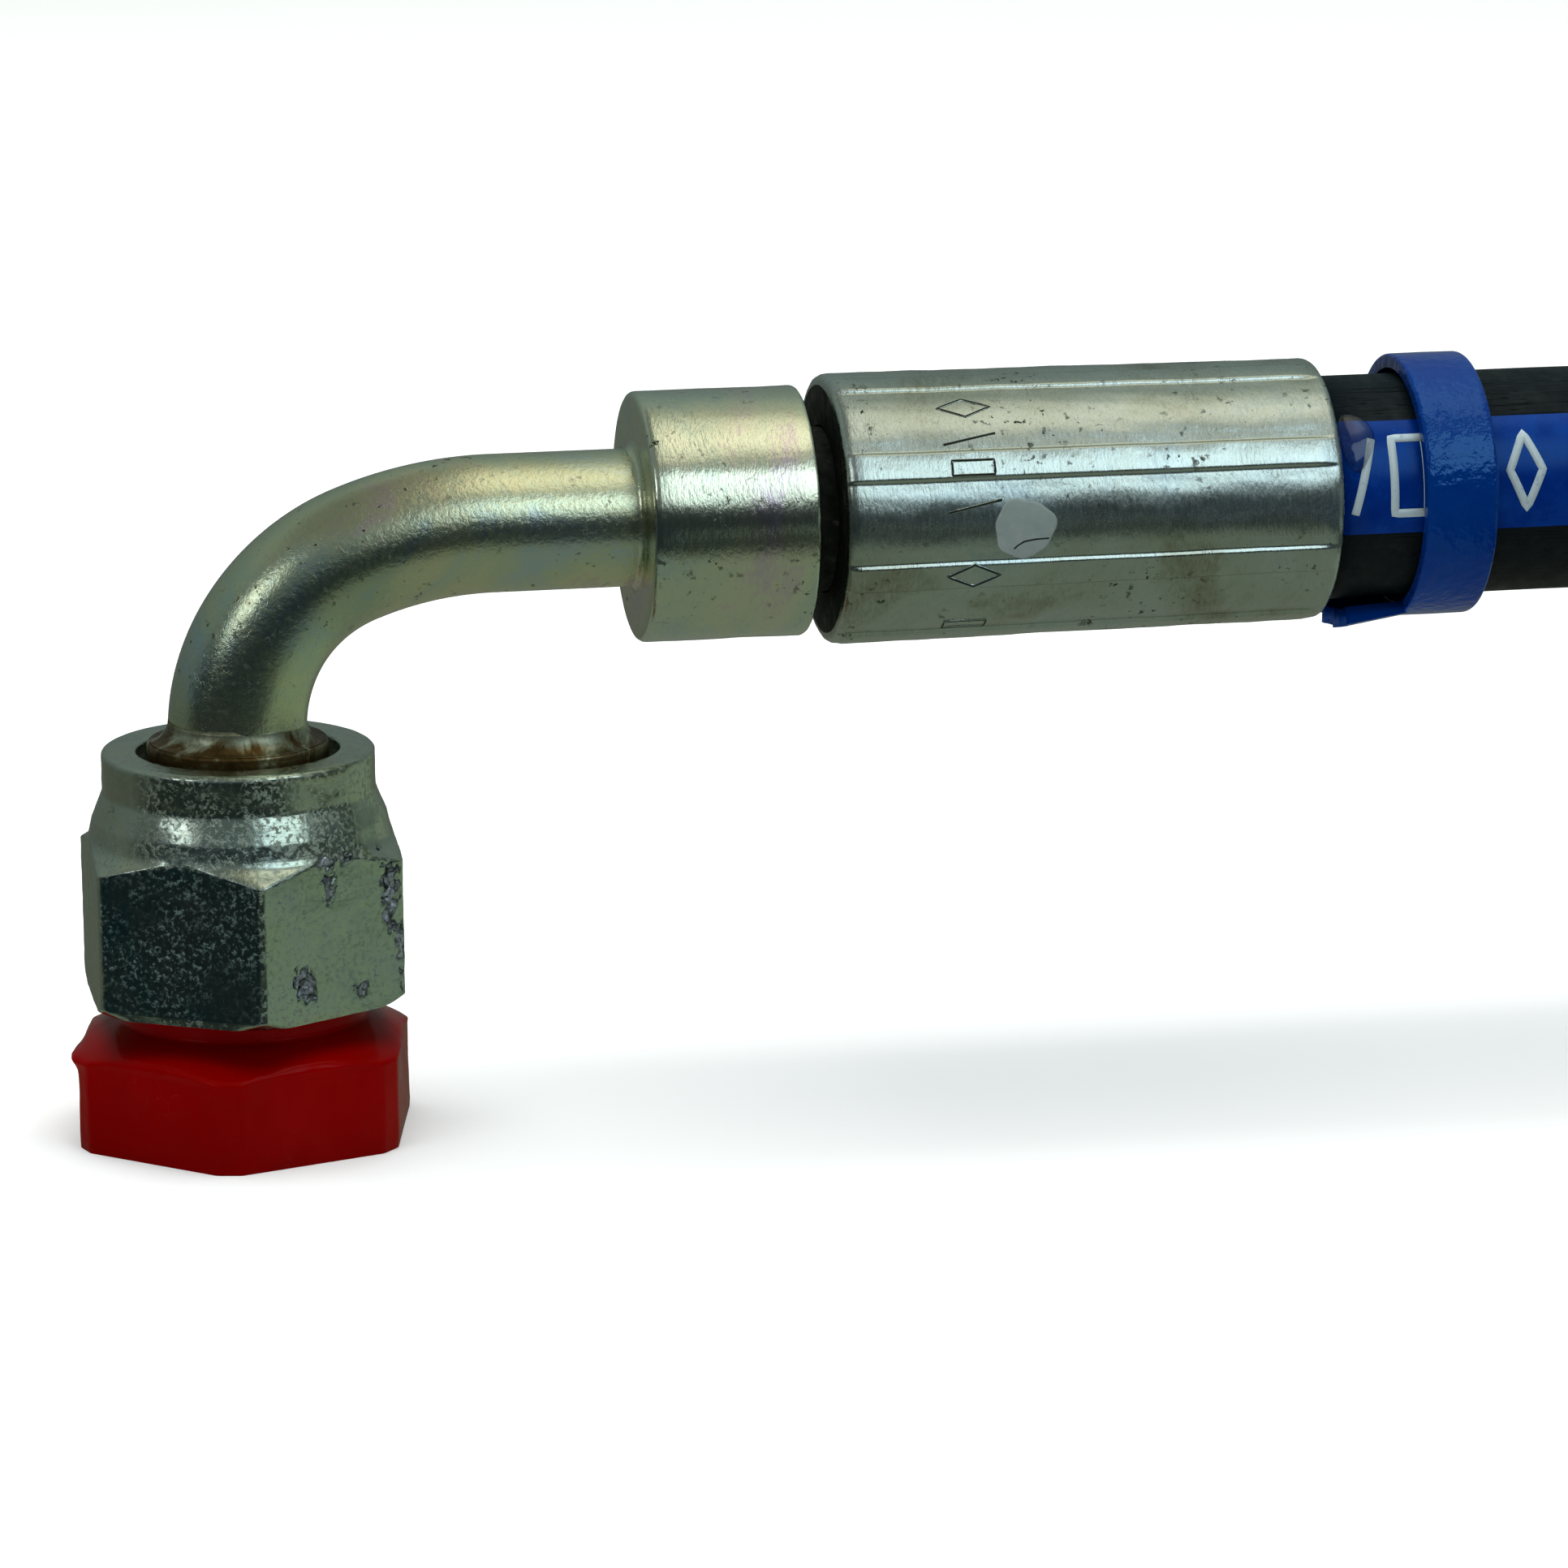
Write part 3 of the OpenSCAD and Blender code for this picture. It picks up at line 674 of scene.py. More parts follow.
HOSE_AXIS = middle("elbow_ferrule", 2)
HOSE_START = span("elbow_ferrule", 0)[1]
HOSE_R = size_of("hose_lead", 1) / 2
TIE_T = 1.1
COIL_R = 90
FLOOR_LEVEL = TIE_T + HOSE_R
UPPER_LEVEL = FLOOR_LEVEL + 2 * HOSE_R + 0.1
COIL_CENTRE = np.array([196, -COIL_R])
RAMP_START, RAMP_END, COIL_TURNS = 205, 320, 1.5
FAR_AXIS = middle("far_nut", 2)
FAR_HOSE_X = span("far_ferrule", 0)[1]
# The route's listed points, as in the CAD
LEAD_ROUTE = [
    (HOSE_START, 0, HOSE_AXIS), (90, 0, HOSE_AXIS), (100, 0, HOSE_AXIS), (108, 0, 43.8), (116, 0, 43),
    (124, 0, 41.7), (132, 0, 39.8), (140, 0, 37.3), (148, 0, 34.4), (156, 0, 31.5),
    (164, 0, 29.1), (172, 0, 27.3), (180, 0, 26.3), (188, 0, UPPER_LEVEL), (196, 0, UPPER_LEVEL),
]
TAIL_ROUTE = [
    (196, -2 * COIL_R, FLOOR_LEVEL), (186, -2 * COIL_R, FLOOR_LEVEL), (176, -2 * COIL_R, 9.5),
    (166, -2 * COIL_R, 9.8), (156, -2 * COIL_R, 10.3), (146, -2 * COIL_R, 10.8),
    (137, -2 * COIL_R, FAR_AXIS), (FAR_HOSE_X, -2 * COIL_R, FAR_AXIS),
]
RING_STEP = 2.5
HOSE_SIDES = 72
STRIPE_MIDDLE = math.radians(15.6)  # above the side that faces -Y
STRIPE_SIDES = 12
STRIPE_TWIST = math.radians(0.09)  # per millimetre, past the straight stretch
STRAIGHT_L = 60


def coil_points():
    """The coil's turns, clockwise from above, at the upper level until the ramp and then on the floor."""
    points = []
    for angle in np.arange(5, 360 * COIL_TURNS, 5):
        way = math.radians(angle)
        drop = smooth_step(angle, RAMP_START, RAMP_END)
        z = UPPER_LEVEL + (FLOOR_LEVEL - UPPER_LEVEL) * drop
        points.append((COIL_CENTRE[0] + COIL_R * math.sin(way), COIL_CENTRE[1] + COIL_R * math.cos(way), z))
    return points


def smooth_line(points, step):
    """A Catmull-Rom curve through points, at even steps of about step."""
    points = np.array(points, float)
    padded = np.concatenate([[2 * points[0] - points[1]], points, [2 * points[-1] - points[-2]]])
    fine = []
    for i in range(1, len(padded) - 2):
        a, b, c, d = padded[i - 1 : i + 3]
        square, cube = 2 * a - 5 * b + 4 * c - d, 3 * b - a - 3 * c + d
        for t in np.arange(0, 1, 0.05):
            fine.append(0.5 * (2 * b + (c - a) * t + square * t**2 + cube * t**3))
    fine = np.array(fine + [padded[-2]])
    along = np.concatenate([[0], np.cumsum(np.linalg.norm(np.diff(fine, axis=0), axis=1))])
    marks = np.linspace(0, along[-1], round(along[-1] / step) + 1)
    return np.stack([np.interp(marks, along, fine[:, i]) for i in range(3)], 1), marks


class Hose:
    """The hose's centreline with, at each point, its heading, its right-hand side and up."""

    def __init__(self):
        self.line, self.along = smooth_line(LEAD_ROUTE + coil_points() + TAIL_ROUTE, RING_STEP)
        heading = np.gradient(self.line, axis=0)
        self.heading = heading / np.linalg.norm(heading, axis=1)[:, None]
        side = np.cross(self.heading, [0, 0, 1])
        self.side = side / np.linalg.norm(side, axis=1)[:, None]
        self.up = np.cross(self.side, self.heading)
        self.length = self.along[-1]

    def twist(self, along):
        return STRIPE_TWIST * np.clip(np.asarray(along, float) - STRAIGHT_L, 0, None)

    def points(self, along, angle, radius):
        """Points on circles round the hose, at lengths along it and angles from the stripe's middle."""
        way = np.asarray(angle) + STRIPE_MIDDLE + self.twist(along)
        centre, side, up = (
            np.stack([np.interp(along, self.along, values[:, i]) for i in range(3)], -1)
            for values in (self.line, self.side, self.up)
        )
        return centre + radius * (np.cos(way)[..., None] * side + np.sin(way)[..., None] * up)


def make_hose(hose, rubber, stripe):
    """The whole free hose as one tube, its blue stripe painted on whole strips of faces."""
    angles = full_turn(HOSE_SIDES) - STRIPE_SIDES / 2 * TAU / HOSE_SIDES
    rows = [hose.points(np.full(HOSE_SIDES, along), angles, HOSE_R) for along in hose.along]
    piece = Piece()
    piece.rod(rows, lambda i, k: int(k < STRIPE_SIDES), True)
    nodes = ["hose_lead", "hose_coil", "hose_tail"]
    thing = piece.make("hose", "hose_assembly", [rubber, stripe], nodes)
    layer = thing.data.uv_layers.new(name="along_hose")
    for face in thing.data.polygons:
        columns = [thing.data.loops[i].vertex_index % HOSE_SIDES for i in face.loop_indices]
        wraps = max(columns) - min(columns) > 1
        for i, column in zip(face.loop_indices, columns):
            row = min(thing.data.loops[i].vertex_index // HOSE_SIDES, len(rows) - 1)
            turn = (HOSE_SIDES if wraps and column == 0 else column) / HOSE_SIDES
            layer.data[i].uv = (hose.along[row] * MM, turn)
    return thing


# Generic print: each mark is one stroke in a box 0..1 wide and 0..1 tall
BAR = [(0.5, 0.0), (0.5, 1.0)]
SLANT = [(0.2, 0.0), (0.8, 1.0)]
FRAME = [(0.0, 0.0), (1.0, 0.0), (1.0, 1.0), (0.0, 1.0), (0.0, 0.0)]
LOZENGE = [(0.0, 0.5), (0.5, 1.0), (1.0, 0.5), (0.5, 0.0), (0.0, 0.5)]
MARKS = [(0.6, SLANT), (4.1, FRAME), (10.1, BAR), (12.9, LOZENGE)]  # and where each starts
MARK_W, MARK_H, STROKE = 2.5, 5.6, 0.62
MARKS_PITCH, MARKS_END = 20, 12
PRINT_LIFT, PRINT_ROOT, PRINT_STEP = 0.025, -0.05, 0.35


def make_print(hose, white):
    """White marks along the whole stripe, as thin strips that follow the hose's surface."""
    piece = Piece()
    for start in np.arange(0, hose.length - MARKS_PITCH - MARKS_END, MARKS_PITCH):
        for offset, stroke in MARKS:
            add_stroke(piece, hose, start + offset, stroke)
    return piece.make("hose_print", "hose_assembly", [white])


def add_stroke(piece, hose, start, stroke):
    """One stroke: a strip STROKE wide along its points, lying on the hose."""
    corners = np.array([(x * MARK_W, (y - 0.5) * MARK_H) for x, y in stroke])
    closed = np.allclose(corners[0], corners[-1])
    flat = [corners[0]]
    for a, b in zip(corners, corners[1:]):
        pieces = math.ceil(np.linalg.norm(b - a) / PRINT_STEP)
        flat += [a + (b - a) * (i + 1) / pieces for i in range(pieces)]
    flat = np.array(flat)
    heading = np.gradient(flat, axis=0)
    if closed:
        heading[0] = heading[-1] = flat[1] - flat[-2]
    heading /= np.linalg.norm(heading, axis=1)[:, None]
    across = np.stack([-heading[:, 1], heading[:, 0]], 1) * STROKE / 2
    edges = flat[:, None] + across[:, None] * np.array([-1, 0, 1])[None, :, None]
    high, low = (
        hose.points(start + edges[..., 0], edges[..., 1] / HOSE_R, HOSE_R + lift)
        for lift in (PRINT_LIFT, PRINT_ROOT)
    )
    rows = np.concatenate([high, low[:, ::-1]], 1)
    if closed:
        piece.grid(rows[:-1], close_rows=True, flip=True)
    else:
        piece.rod(rows, flip=True)


# Middle of the glue drop along the hose and up round it, and its half length and half height
GLUE_X, GLUE_UP, GLUE_HALF_L, GLUE_HALF_H = 1.55, 2.7, 1.35, 2.3
GLUE_T, GLUE_EDGE = 0.34, 0.04


def make_glue(hose, material):
    """A drop of set clear glue over the stripe's edge, beside the ferrule."""
    turn = full_turn(40)
    rows = []
    for share in (1.0, 0.93, 0.8, 0.6, 0.35, 0.1):
        along = GLUE_X + share * GLUE_HALF_L * (np.cos(turn) + 0.12 * np.sin(2 * turn))
        round_hose = GLUE_UP + share * GLUE_HALF_H * np.sin(turn) * (1 - 0.25 * np.cos(turn))
        lift = GLUE_EDGE + GLUE_T * math.sqrt(1 - share**2) if share < 1 else -GLUE_EDGE
        rows.append(hose.points(along, round_hose / HOSE_R, HOSE_R + lift))
    piece = Piece()
    piece.rod(rows)
    return piece.make("glue_drop", "hose_assembly", [material])


# ---- fittings

TURN_STEPS = 144
STEM_X = span("elbow_stem", 0)[0]
COLLAR_R = size_of("elbow_stem", 2) / 2
COLLAR_L = 12.1
SOCKET_L = 6
TUBE_R, TUBE_BORE = 5.0, 3.5
TUBE_HOLE_R = TUBE_R + 0.02
NUT_MOUTH = span("elbow_nut", 2)[0]


def make_turned(name, outline, origin, materials, replaces=(), along_x=False, in_painted_shade=None):
    """A turned piece with a bore: a closed outline of (r, z, corner radius) round its axis.

    The last argument tests (r, z) for the rows that take the second material, a dark tone that is painted
    shade.
    """
    outline = filled_in(rounded(outline), 1.2)
    rows = turned_rows(outline, full_turn(TURN_STEPS))
    rows = pushed_out(rows, rough(rows, 2.2, 0.012, 4))
    paint = [int(bool(in_painted_shade and in_painted_shade(r, z))) for r, z in outline]
    piece = Piece()
    piece.grid(placed(rows, origin, along_x), lambda i, k: paint[i], close_rows=True)
    return piece.make(name, "hose_assembly", materials, replaces)


BEND_TIGHT, BEND_OPEN, BEND_ANGLE = 13.5, 28.0, math.radians(69)
BEND_FLATTENING = 0.035


def make_tube(material):
    """The bent tube: an upright foot, a tight bend, an open bend and a straight end in the collar."""
    rise = BEND_OPEN - (BEND_OPEN - BEND_TIGHT) * math.sin(BEND_ANGLE)
    bend_z = HOSE_AXIS - rise
    foot_z = span("elbow_tube", 2)[0]
    end_x = span("elbow_tube", 0)[1]
    centre = np.array([BEND_TIGHT + (BEND_OPEN - BEND_TIGHT) * math.cos(BEND_ANGLE), HOSE_AXIS - BEND_OPEN])
    # Stations along the tube: x, z and the angle turned so far
    stations = [(0, z, 0.0) for z in np.linspace(foot_z, bend_z, 8)[:-1]]
    for a in np.linspace(0, BEND_ANGLE, 36)[:-1]:
        stations.append((BEND_TIGHT * (1 - math.cos(a)), bend_z + BEND_TIGHT * math.sin(a), a))
    for a in np.linspace(BEND_ANGLE, math.pi / 2, 18)[:-1]:
        stations.append((centre[0] - BEND_OPEN * math.cos(a), centre[1] + BEND_OPEN * math.sin(a), a))
    stations += [(x, HOSE_AXIS, math.pi / 2) for x in np.linspace(centre[0], end_x, 14)]
    turn = full_turn(96)
    outer, inner = [], []
    for x, z, a in stations:
        across = np.array([math.cos(a), 0, -math.sin(a)])
        squeeze = 1 - BEND_FLATTENING * math.sin(min(2 * a, math.pi)) ** 2
        ring = np.cos(turn)[:, None] * across * squeeze + np.sin(turn)[:, None] * np.array([0, 1, 0])
        outer.append(np.array([x, 0, z]) + TUBE_R * ring)
        inner.append(np.array([x, 0, z]) + TUBE_BORE * ring)
    piece = Piece()
    piece.grid(outer + inner[::-1], close_rows=True, flip=True)
    return piece.make("bent_tube", "hose_assembly", [material], ["elbow_tube"])


# Heights above the nut's mouth, as in the CAD
FACE_Z, FLANGE_R, FLANGE_TOP, SHANK_R, SLEEVE_L = 10.9, 7.7, 13.5, 6.53, 18.6
THREAD_R, THREAD_PITCH, THREAD_DEPTH, THREAD_L = 7.98, 1.5875, 0.62, 10.5
UNDERCUT_R, BACK_BORE_R = 8.9, 6.61
SHOULDER_TOP = FLANGE_TOP + FLANGE_R - BACK_BORE_R + 0.42
UNDERCUT_TOP = SHOULDER_TOP - (UNDERCUT_R - BACK_BORE_R)
COUNTERBORE_R, COUNTERBORE_Z = 7.3, 16.2
NUT_L, NUT_CONE_TOP, NUT_RIM_R, NUT_CORNER_H, NUT_CHAMFER_H = 18, 15.1, 9.85, 10.4, 1.1
NUT_SEGMENTS = 480
NUT_OUTSIDE_R = NUT_RIM_R - 0.6  # whatever is further out is on the nut's outside


def nut_outline(across_flats):
    corner = across_flats / 2 / math.cos(math.pi / 6)
    return [
        (THREAD_R + 0.5, 0, 0.15), (corner - 0.9, 0, 0.25), (corner + 0.02, 0.7, 0.4),
        (corner + 0.02, NUT_CORNER_H, 0.35), (across_flats / 2, NUT_CORNER_H + NUT_CHAMFER_H, 1.6),
        (10.62, 13.15, 1.8), (NUT_RIM_R, NUT_CONE_TOP, 0.9), (NUT_RIM_R, NUT_L, 0.45),
        (COUNTERBORE_R, NUT_L, 0.3), (COUNTERBORE_R, COUNTERBORE_Z, 0.2), (BACK_BORE_R, COUNTERBORE_Z, 0.1),
        (BACK_BORE_R, SHOULDER_TOP, 0.1), (UNDERCUT_R, UNDERCUT_TOP, 0.1), (UNDERCUT_R, THREAD_L, 0.1),
        (THREAD_R, THREAD_L, 0.05), (THREAD_R, 0.5, 0.05),
    ]


def nut_radius(r, z, angles, flat):
    """The nut's surface at each angle: cut by the hexagon outside, threaded inside."""
    if r > NUT_OUTSIDE_R:
        return soft_min(np.full(len(angles), r), flat, 0.12)
    if abs(r - THREAD_R) < 0.02:
        turn = (z / THREAD_PITCH - angles / TAU) % 1
        groove = np.clip(1.1 - 2.5 * abs(turn - 0.5), 0, 1) * THREAD_DEPTH
        return r + groove * smooth_step(z, 0.5, 1.6) * (1 - smooth_step(z, THREAD_L - 1, THREAD_L))
    return np.full(len(angles), r)


def make_nut(name, body, node, origin, along_x, material, painted_shade_flats=(), tears=()):
    """A swivel nut: a turned outline cut by a hexagon, with a thread in its bore.

    The flats at the angles given after the material get painted shade, a dark tone. A tear in its plating is
    (angle, height, half width, half height, depth).
    """
    across = size_of("far_nut", 2)
    angles = full_turn(NUT_SEGMENTS)
    flat = hexagon_radius(angles, across, 0)
    outline = filled_in(rounded(nut_outline(across)), 0.3)
    rows = turned_rows(outline, angles, lambda r, z, a: nut_radius(r, z, a, flat))
    profile_r, height = outline[:, :1], outline[:, 1:]
    outside = profile_r > NUT_OUTSIDE_R
    wear = rough(rows, 1.4, 0.012, 1) + rough(rows, 0.5, 0.006, 2)
    torn = np.zeros(wear.shape)
    for angle, z, half_width, half_height, depth in tears:
        around = turn_between(angles, angle)[None] * across / 2 / half_width
        hit = 1.15 - ((height - z) / half_height) ** 2 - around**2 + rough(rows, 0.5, 0.6, 5)
        hit = np.clip(hit, 0, 1) * outside
        torn = np.maximum(torn, hit)
        wear -= depth * hit * (0.6 + rough(rows, 0.3, 0.9, 6))
    rows = pushed_out(rows, np.minimum(wear, 0.03) * outside)
    on_flat = np.clip((profile_r - flat[None]) / 0.25, 0, 1) * outside * (height > 0.5)
    # Painted shade: the flats at the listed angles are marked for a dark tone.
    dark = np.zeros(wear.shape)
    for angle in painted_shade_flats:
        from_flat = abs(turn_between(angles, angle))
        dark = np.maximum(dark, np.clip((math.pi / 6 - from_flat) / 0.03, 0, 1)[None] * on_flat)
    piece = Piece()
    piece.grid(placed(rows, origin, along_x), close_rows=True)
    attributes = {"flat": on_flat, "painted_shade_flats": dark, "torn": torn}
    return piece.make(name, body, [material], [node], attributes)


def sealing_outline(top):
    """The face, flange and shank that both swivel nuts turn on, up to the shank's top."""
    return [
        (TUBE_BORE, FACE_Z, 0.2), (FLANGE_R, FACE_Z, 0.3), (FLANGE_R, FLANGE_TOP, 0.1),
        (SHANK_R, FLANGE_TOP + FLANGE_R - SHANK_R, 0.1), (SHANK_R, top, 0.25),
    ]


def fillet_outline(width, height):
    """A concave fillet standing on the tube, its foot outwards."""
    root = TUBE_R - 0.02
    bend = np.linspace(0, math.pi / 2, 9)
    return [(root, 0)] + [(root + width * (1 - math.sin(a)), height * (1 - math.cos(a))) for a in bend]


# The nipple's lock shoulder, then its barbs, as lengths from the ferrule's stem end
LOCK_NECK_R, LOCK_SHOULDER_R, LOCK_START, LOCK_END = 6, 7.2, 2.5, 4.1
BARB_R, BARB_ROOT_R, BARB_PITCH, BARB_L, BARBS = 4.7, 4.35, 3.5, 3.2, 8
NIPPLE_BORE, NIPPLE_END = 3.2, 33


def nipple_outline(base):
    """Neck, lock shoulder and barbs of a nipple, base being where its ferrule starts."""
    outline = [
        (LOCK_NECK_R, LOCK_START + base, 0), (LOCK_SHOULDER_R, LOCK_START + base, 0.1),
        (LOCK_SHOULDER_R, LOCK_END + base, 0.1),
    ]
    for i in range(BARBS):
        start = LOCK_END + base + BARB_PITCH * i
        outline += [(BARB_R, start), (BARB_ROOT_R, start + BARB_L)]
    return outline + [(NIPPLE_BORE, NIPPLE_END + base, 0.2)]


FERRULE_R, FERRULE_R_HOSE, FERRULE_STEPS = 9.85, 9.6, 720
# Middles of the raised lines between the crimping dies, in degrees above the side facing -Y, and
# their height, half width and slope, the last two in degrees
CRIMP_LINES = np.array([74.6, 27.2, -21.5, -65, -109, -153, -197, -241])
CRIMP_H, CRIMP_HALF, CRIMP_FALL = 0.2, 6.2, 1.8
LAND_CROWN = 0.15
CAVITY_R, LOCK_R, NECK_R = 7.8, 7.3, 6.1
CAVITY_START, LOCK_GROOVE, BELL_MOUTH = 4.2, 2.4, 2.5
FERRULE_OUTSIDE_R = FERRULE_R_HOSE - 0.9  # whatever is further out is on the ferrule's outside


def crimp_height(angles):
    """Height of the raised lines left between the crimping dies, and the hollow of the lands beside them."""
    above = (270 - np.degrees(angles)) % 360
    away = abs((above[:, None] - CRIMP_LINES + 180) % 360 - 180).min(1)
    sharp = 1 - smooth_step(away, CRIMP_HALF - CRIMP_FALL / 2, CRIMP_HALF + CRIMP_FALL / 2)
    foot = 1 - smooth_step(away, CRIMP_HALF - 1, CRIMP_HALF + 5)
    land = LAND_CROWN * (1 - np.clip((away - CRIMP_HALF) / 16.5, 0, 1)) ** 2
    return CRIMP_H * (0.75 * sharp + 0.25 * foot) - land * (1 - sharp) - 0.5 * LAND_CROWN * sharp


def ferrule_radius(x, angles, length):
    """Outside radius of a crimped ferrule at a length from its stem end."""
    ends = smooth_step(x, -0.2, 0.9) * (1 - smooth_step(x, length - 1.6, length - 0.3))
    return ferrule_taper(x, length) + crimp_height(angles) * ends


def ferrule_taper(x, length):
    return FERRULE_R + (FERRULE_R_HOSE - FERRULE_R) * x / length


def make_ferrule(name, node, axis_y, axis_z, materials, seed):
    """A crimped ferrule with the cavity that the hose's layers sit in."""
    low, high = span(node, 0)
    length = high - low
    outline = filled_in(rounded([
        (NECK_R, 0, 0.1), (FERRULE_R, 0, 0.8), (FERRULE_R_HOSE, length, 1.5),
        (HOSE_R + 0.12, length, 0.1), (CAVITY_R, length - BELL_MOUTH, 0), (CAVITY_R, CAVITY_START, 0),
        (LOCK_R, CAVITY_START, 0), (LOCK_R, LOCK_GROOVE, 0), (NECK_R, LOCK_GROOVE, 0),
    ]), 0.8)

    def radius(r, z, angles):
        if r < FERRULE_OUTSIDE_R:
            return np.full(len(angles), r)
        return r + ferrule_radius(z, angles, length) - ferrule_taper(z, length)

    rows = turned_rows(outline, full_turn(FERRULE_STEPS), radius)
    outside = outline[:, :1] > FERRULE_OUTSIDE_R
    wear = rough(rows, 3.5, 0.018, seed) + rough(rows, 1.1, 0.007, seed + 1)
    rows = pushed_out(rows, wear * outside)
    piece = Piece()
    # The inner faces at the stem end take the dark second material: painted shade.
    in_painted_shade = [r < FERRULE_R - 0.9 and z < length / 2 for r, z in outline]
    piece.grid(placed(rows, (low, axis_y, axis_z), True), lambda i, k: int(in_painted_shade[i]), close_rows=True)
    return piece.make(name, "hose_assembly", materials, [node])


def on_ferrule(x, angle, lift):
    """A point on the elbow's ferrule, x along it from its stem end, angle above the side facing -Y."""
    low, high = span("elbow_ferrule", 0)
    local = np.array([math.pi * 1.5 - angle])
    r = ferrule_radius(x, local, high - low)[0] + lift
    return np.array([low + x, -r * math.cos(angle), HOSE_AXIS + r * math.sin(angle)])


# Plain struck shapes, with their corners given as a share of STAMP_HALF_L along the ferrule and in
# millimetres round it, and where each stands, in degrees above the side facing -Y
STAMP_X, STAMP_HALF_L = 9.3, 1.95
LOZENGE_STAMP = [(-1, 0), (0, 0.9), (1, 0), (0, -0.9)]
BOX_STAMP = [(-0.8, -0.55), (-0.8, 0.55), (0.8, 0.55), (0.8, -0.55)]
BAR_STAMP = [(-1, -0.5), (1, 0.3)]
STAMPS = [
    (55.4, LOZENGE_STAMP), (39.6, BAR_STAMP), (25.7, BOX_STAMP), (10, BAR_STAMP), (-21, LOZENGE_STAMP),
    (-52.8, BOX_STAMP),
]


def make_stamps(zinc, dark):
    """Thin raised plain shapes, with painted shade along their tops and bright at their sides."""
    piece = Piece()
    for degrees, corners in STAMPS:
        closed = len(corners) > 2
        ends = corners[1:] + corners[:1] if closed else corners[1:]
        line = [np.linspace(a, b, 7)[:-1] for a, b in zip(corners, ends)]
        if not closed:
            line.append([ends[-1]])
        line = np.concatenate(line) * (STAMP_HALF_L, 1) + (STAMP_X, 0)
        # Each stamp's top face takes the dark material: painted shade.
        add_ridge(piece, line, math.radians(degrees), closed, paint=lambda i, k: int(k == 1))
    return piece.make("ferrule_stamps", "hose_assembly", [zinc, dark])


def add_ridge(piece, line, middle_angle, closed, half=0.17, height=0.06, root=-0.1, paint=0):
    """A thin raised line on the ferrule along points of (x along, distance round)."""
    heading = np.roll(line, -1, 0) - np.roll(line, 1, 0) if closed else np.gradient(line, axis=0)
    heading /= np.linalg.norm(heading, axis=1)[:, None]
    across = np.stack([-heading[:, 1], heading[:, 0]], 1) * half
    section = [(-1, root), (-0.4, height), (0.4, height), (1, root)]
    rows = []
    for spot, side in zip(line, across):
        flat = [(*(spot + side * share), lift) for share, lift in section]
        rows.append([on_ferrule(x, middle_angle + y / FERRULE_R, lift) for x, y, lift in flat])
    if closed:
        piece.grid(rows, paint, close_rows=True)
    else:
        piece.rod(rows, paint, end_paint=0 if callable(paint) else paint)


DOT_X, DOT_ANGLE, DOT_R = 12.9, math.radians(-1), 2.25
DOT_T, DOT_ROOT = 0.035, -0.06
# The scratch in the dot: along the ferrule from the dot's middle, and round it
DOT_SCRATCH = [(-0.75, -1.5), (-0.5, -1.25), (0, -0.95), (0.8, -0.82), (1.8, -0.78)]


def make_paint_dot(paint, dark):
    """The inspector's dot of paint, a thin uneven disc on the ferrule with a dark scratch low in it."""
    turn = full_turn(48)
    edge = DOT_R * (1 + 0.05 * np.sin(3 * turn + 1) + 0.03 * np.sin(7 * turn) + 0.03 * np.sin(4 * turn))
    rows = []
    for share, lift in [(1.0, DOT_ROOT), (0.985, 0.02)] + [(n, DOT_T) for n in (0.9, 0.6, 0.3, 0.06)]:
        x = DOT_X + share * edge * np.cos(turn)
        angle = DOT_ANGLE + share * edge * np.sin(turn) / FERRULE_R
        rows.append([on_ferrule(a, b, lift) for a, b in zip(x, angle)])
    piece = Piece()
    piece.rod(rows, flip=True)
    scratch = np.array(DOT_SCRATCH) + (DOT_X, 0)
    add_ridge(piece, scratch, DOT_ANGLE, False, half=0.1, height=0.05, root=0, paint=1)
    return piece.make("inspection_dot", "hose_assembly", [paint, dark])


# ---- plug, ring and ties

PLUG_PHASE = math.radians(17.5)
PLUG_AF, PLUG_CORNER_D = 23, 25.5
PLUG_STEM_R, PLUG_HOLLOW_R = THREAD_R - 0.08, 6.3
PLUG_COLLAR_R = 8.9
PLUG_HEAD_R, PLUG_HEAD_H, PLUG_SLOPE, PLUG_FLOOR = 13.4, 6.7, 0.52, 3
PLUG_CENTRE_R = 0.4
LIP_R, LIP_H, LIP_SPREAD = 12.2, 0.12, 0.35
# The moulding burr: how far it stands out, its height, the spread of it and the side it is on
BURR_OUT, BURR_Z, BURR_SPREAD, BURR_SIDE, BURR_WIDTH = 0.55, 6.6, 0.5, math.radians(188), 0.16


def plug_top(r):
    """Height of the plug head's top at a distance from its axis, as in the CAD."""
    return PLUG_HEAD_H + PLUG_SLOPE * (PLUG_CORNER_D / 2 - r)


def bell(x, middle_x, spread):
    return np.exp(-(((x - middle_x) / spread) ** 2))


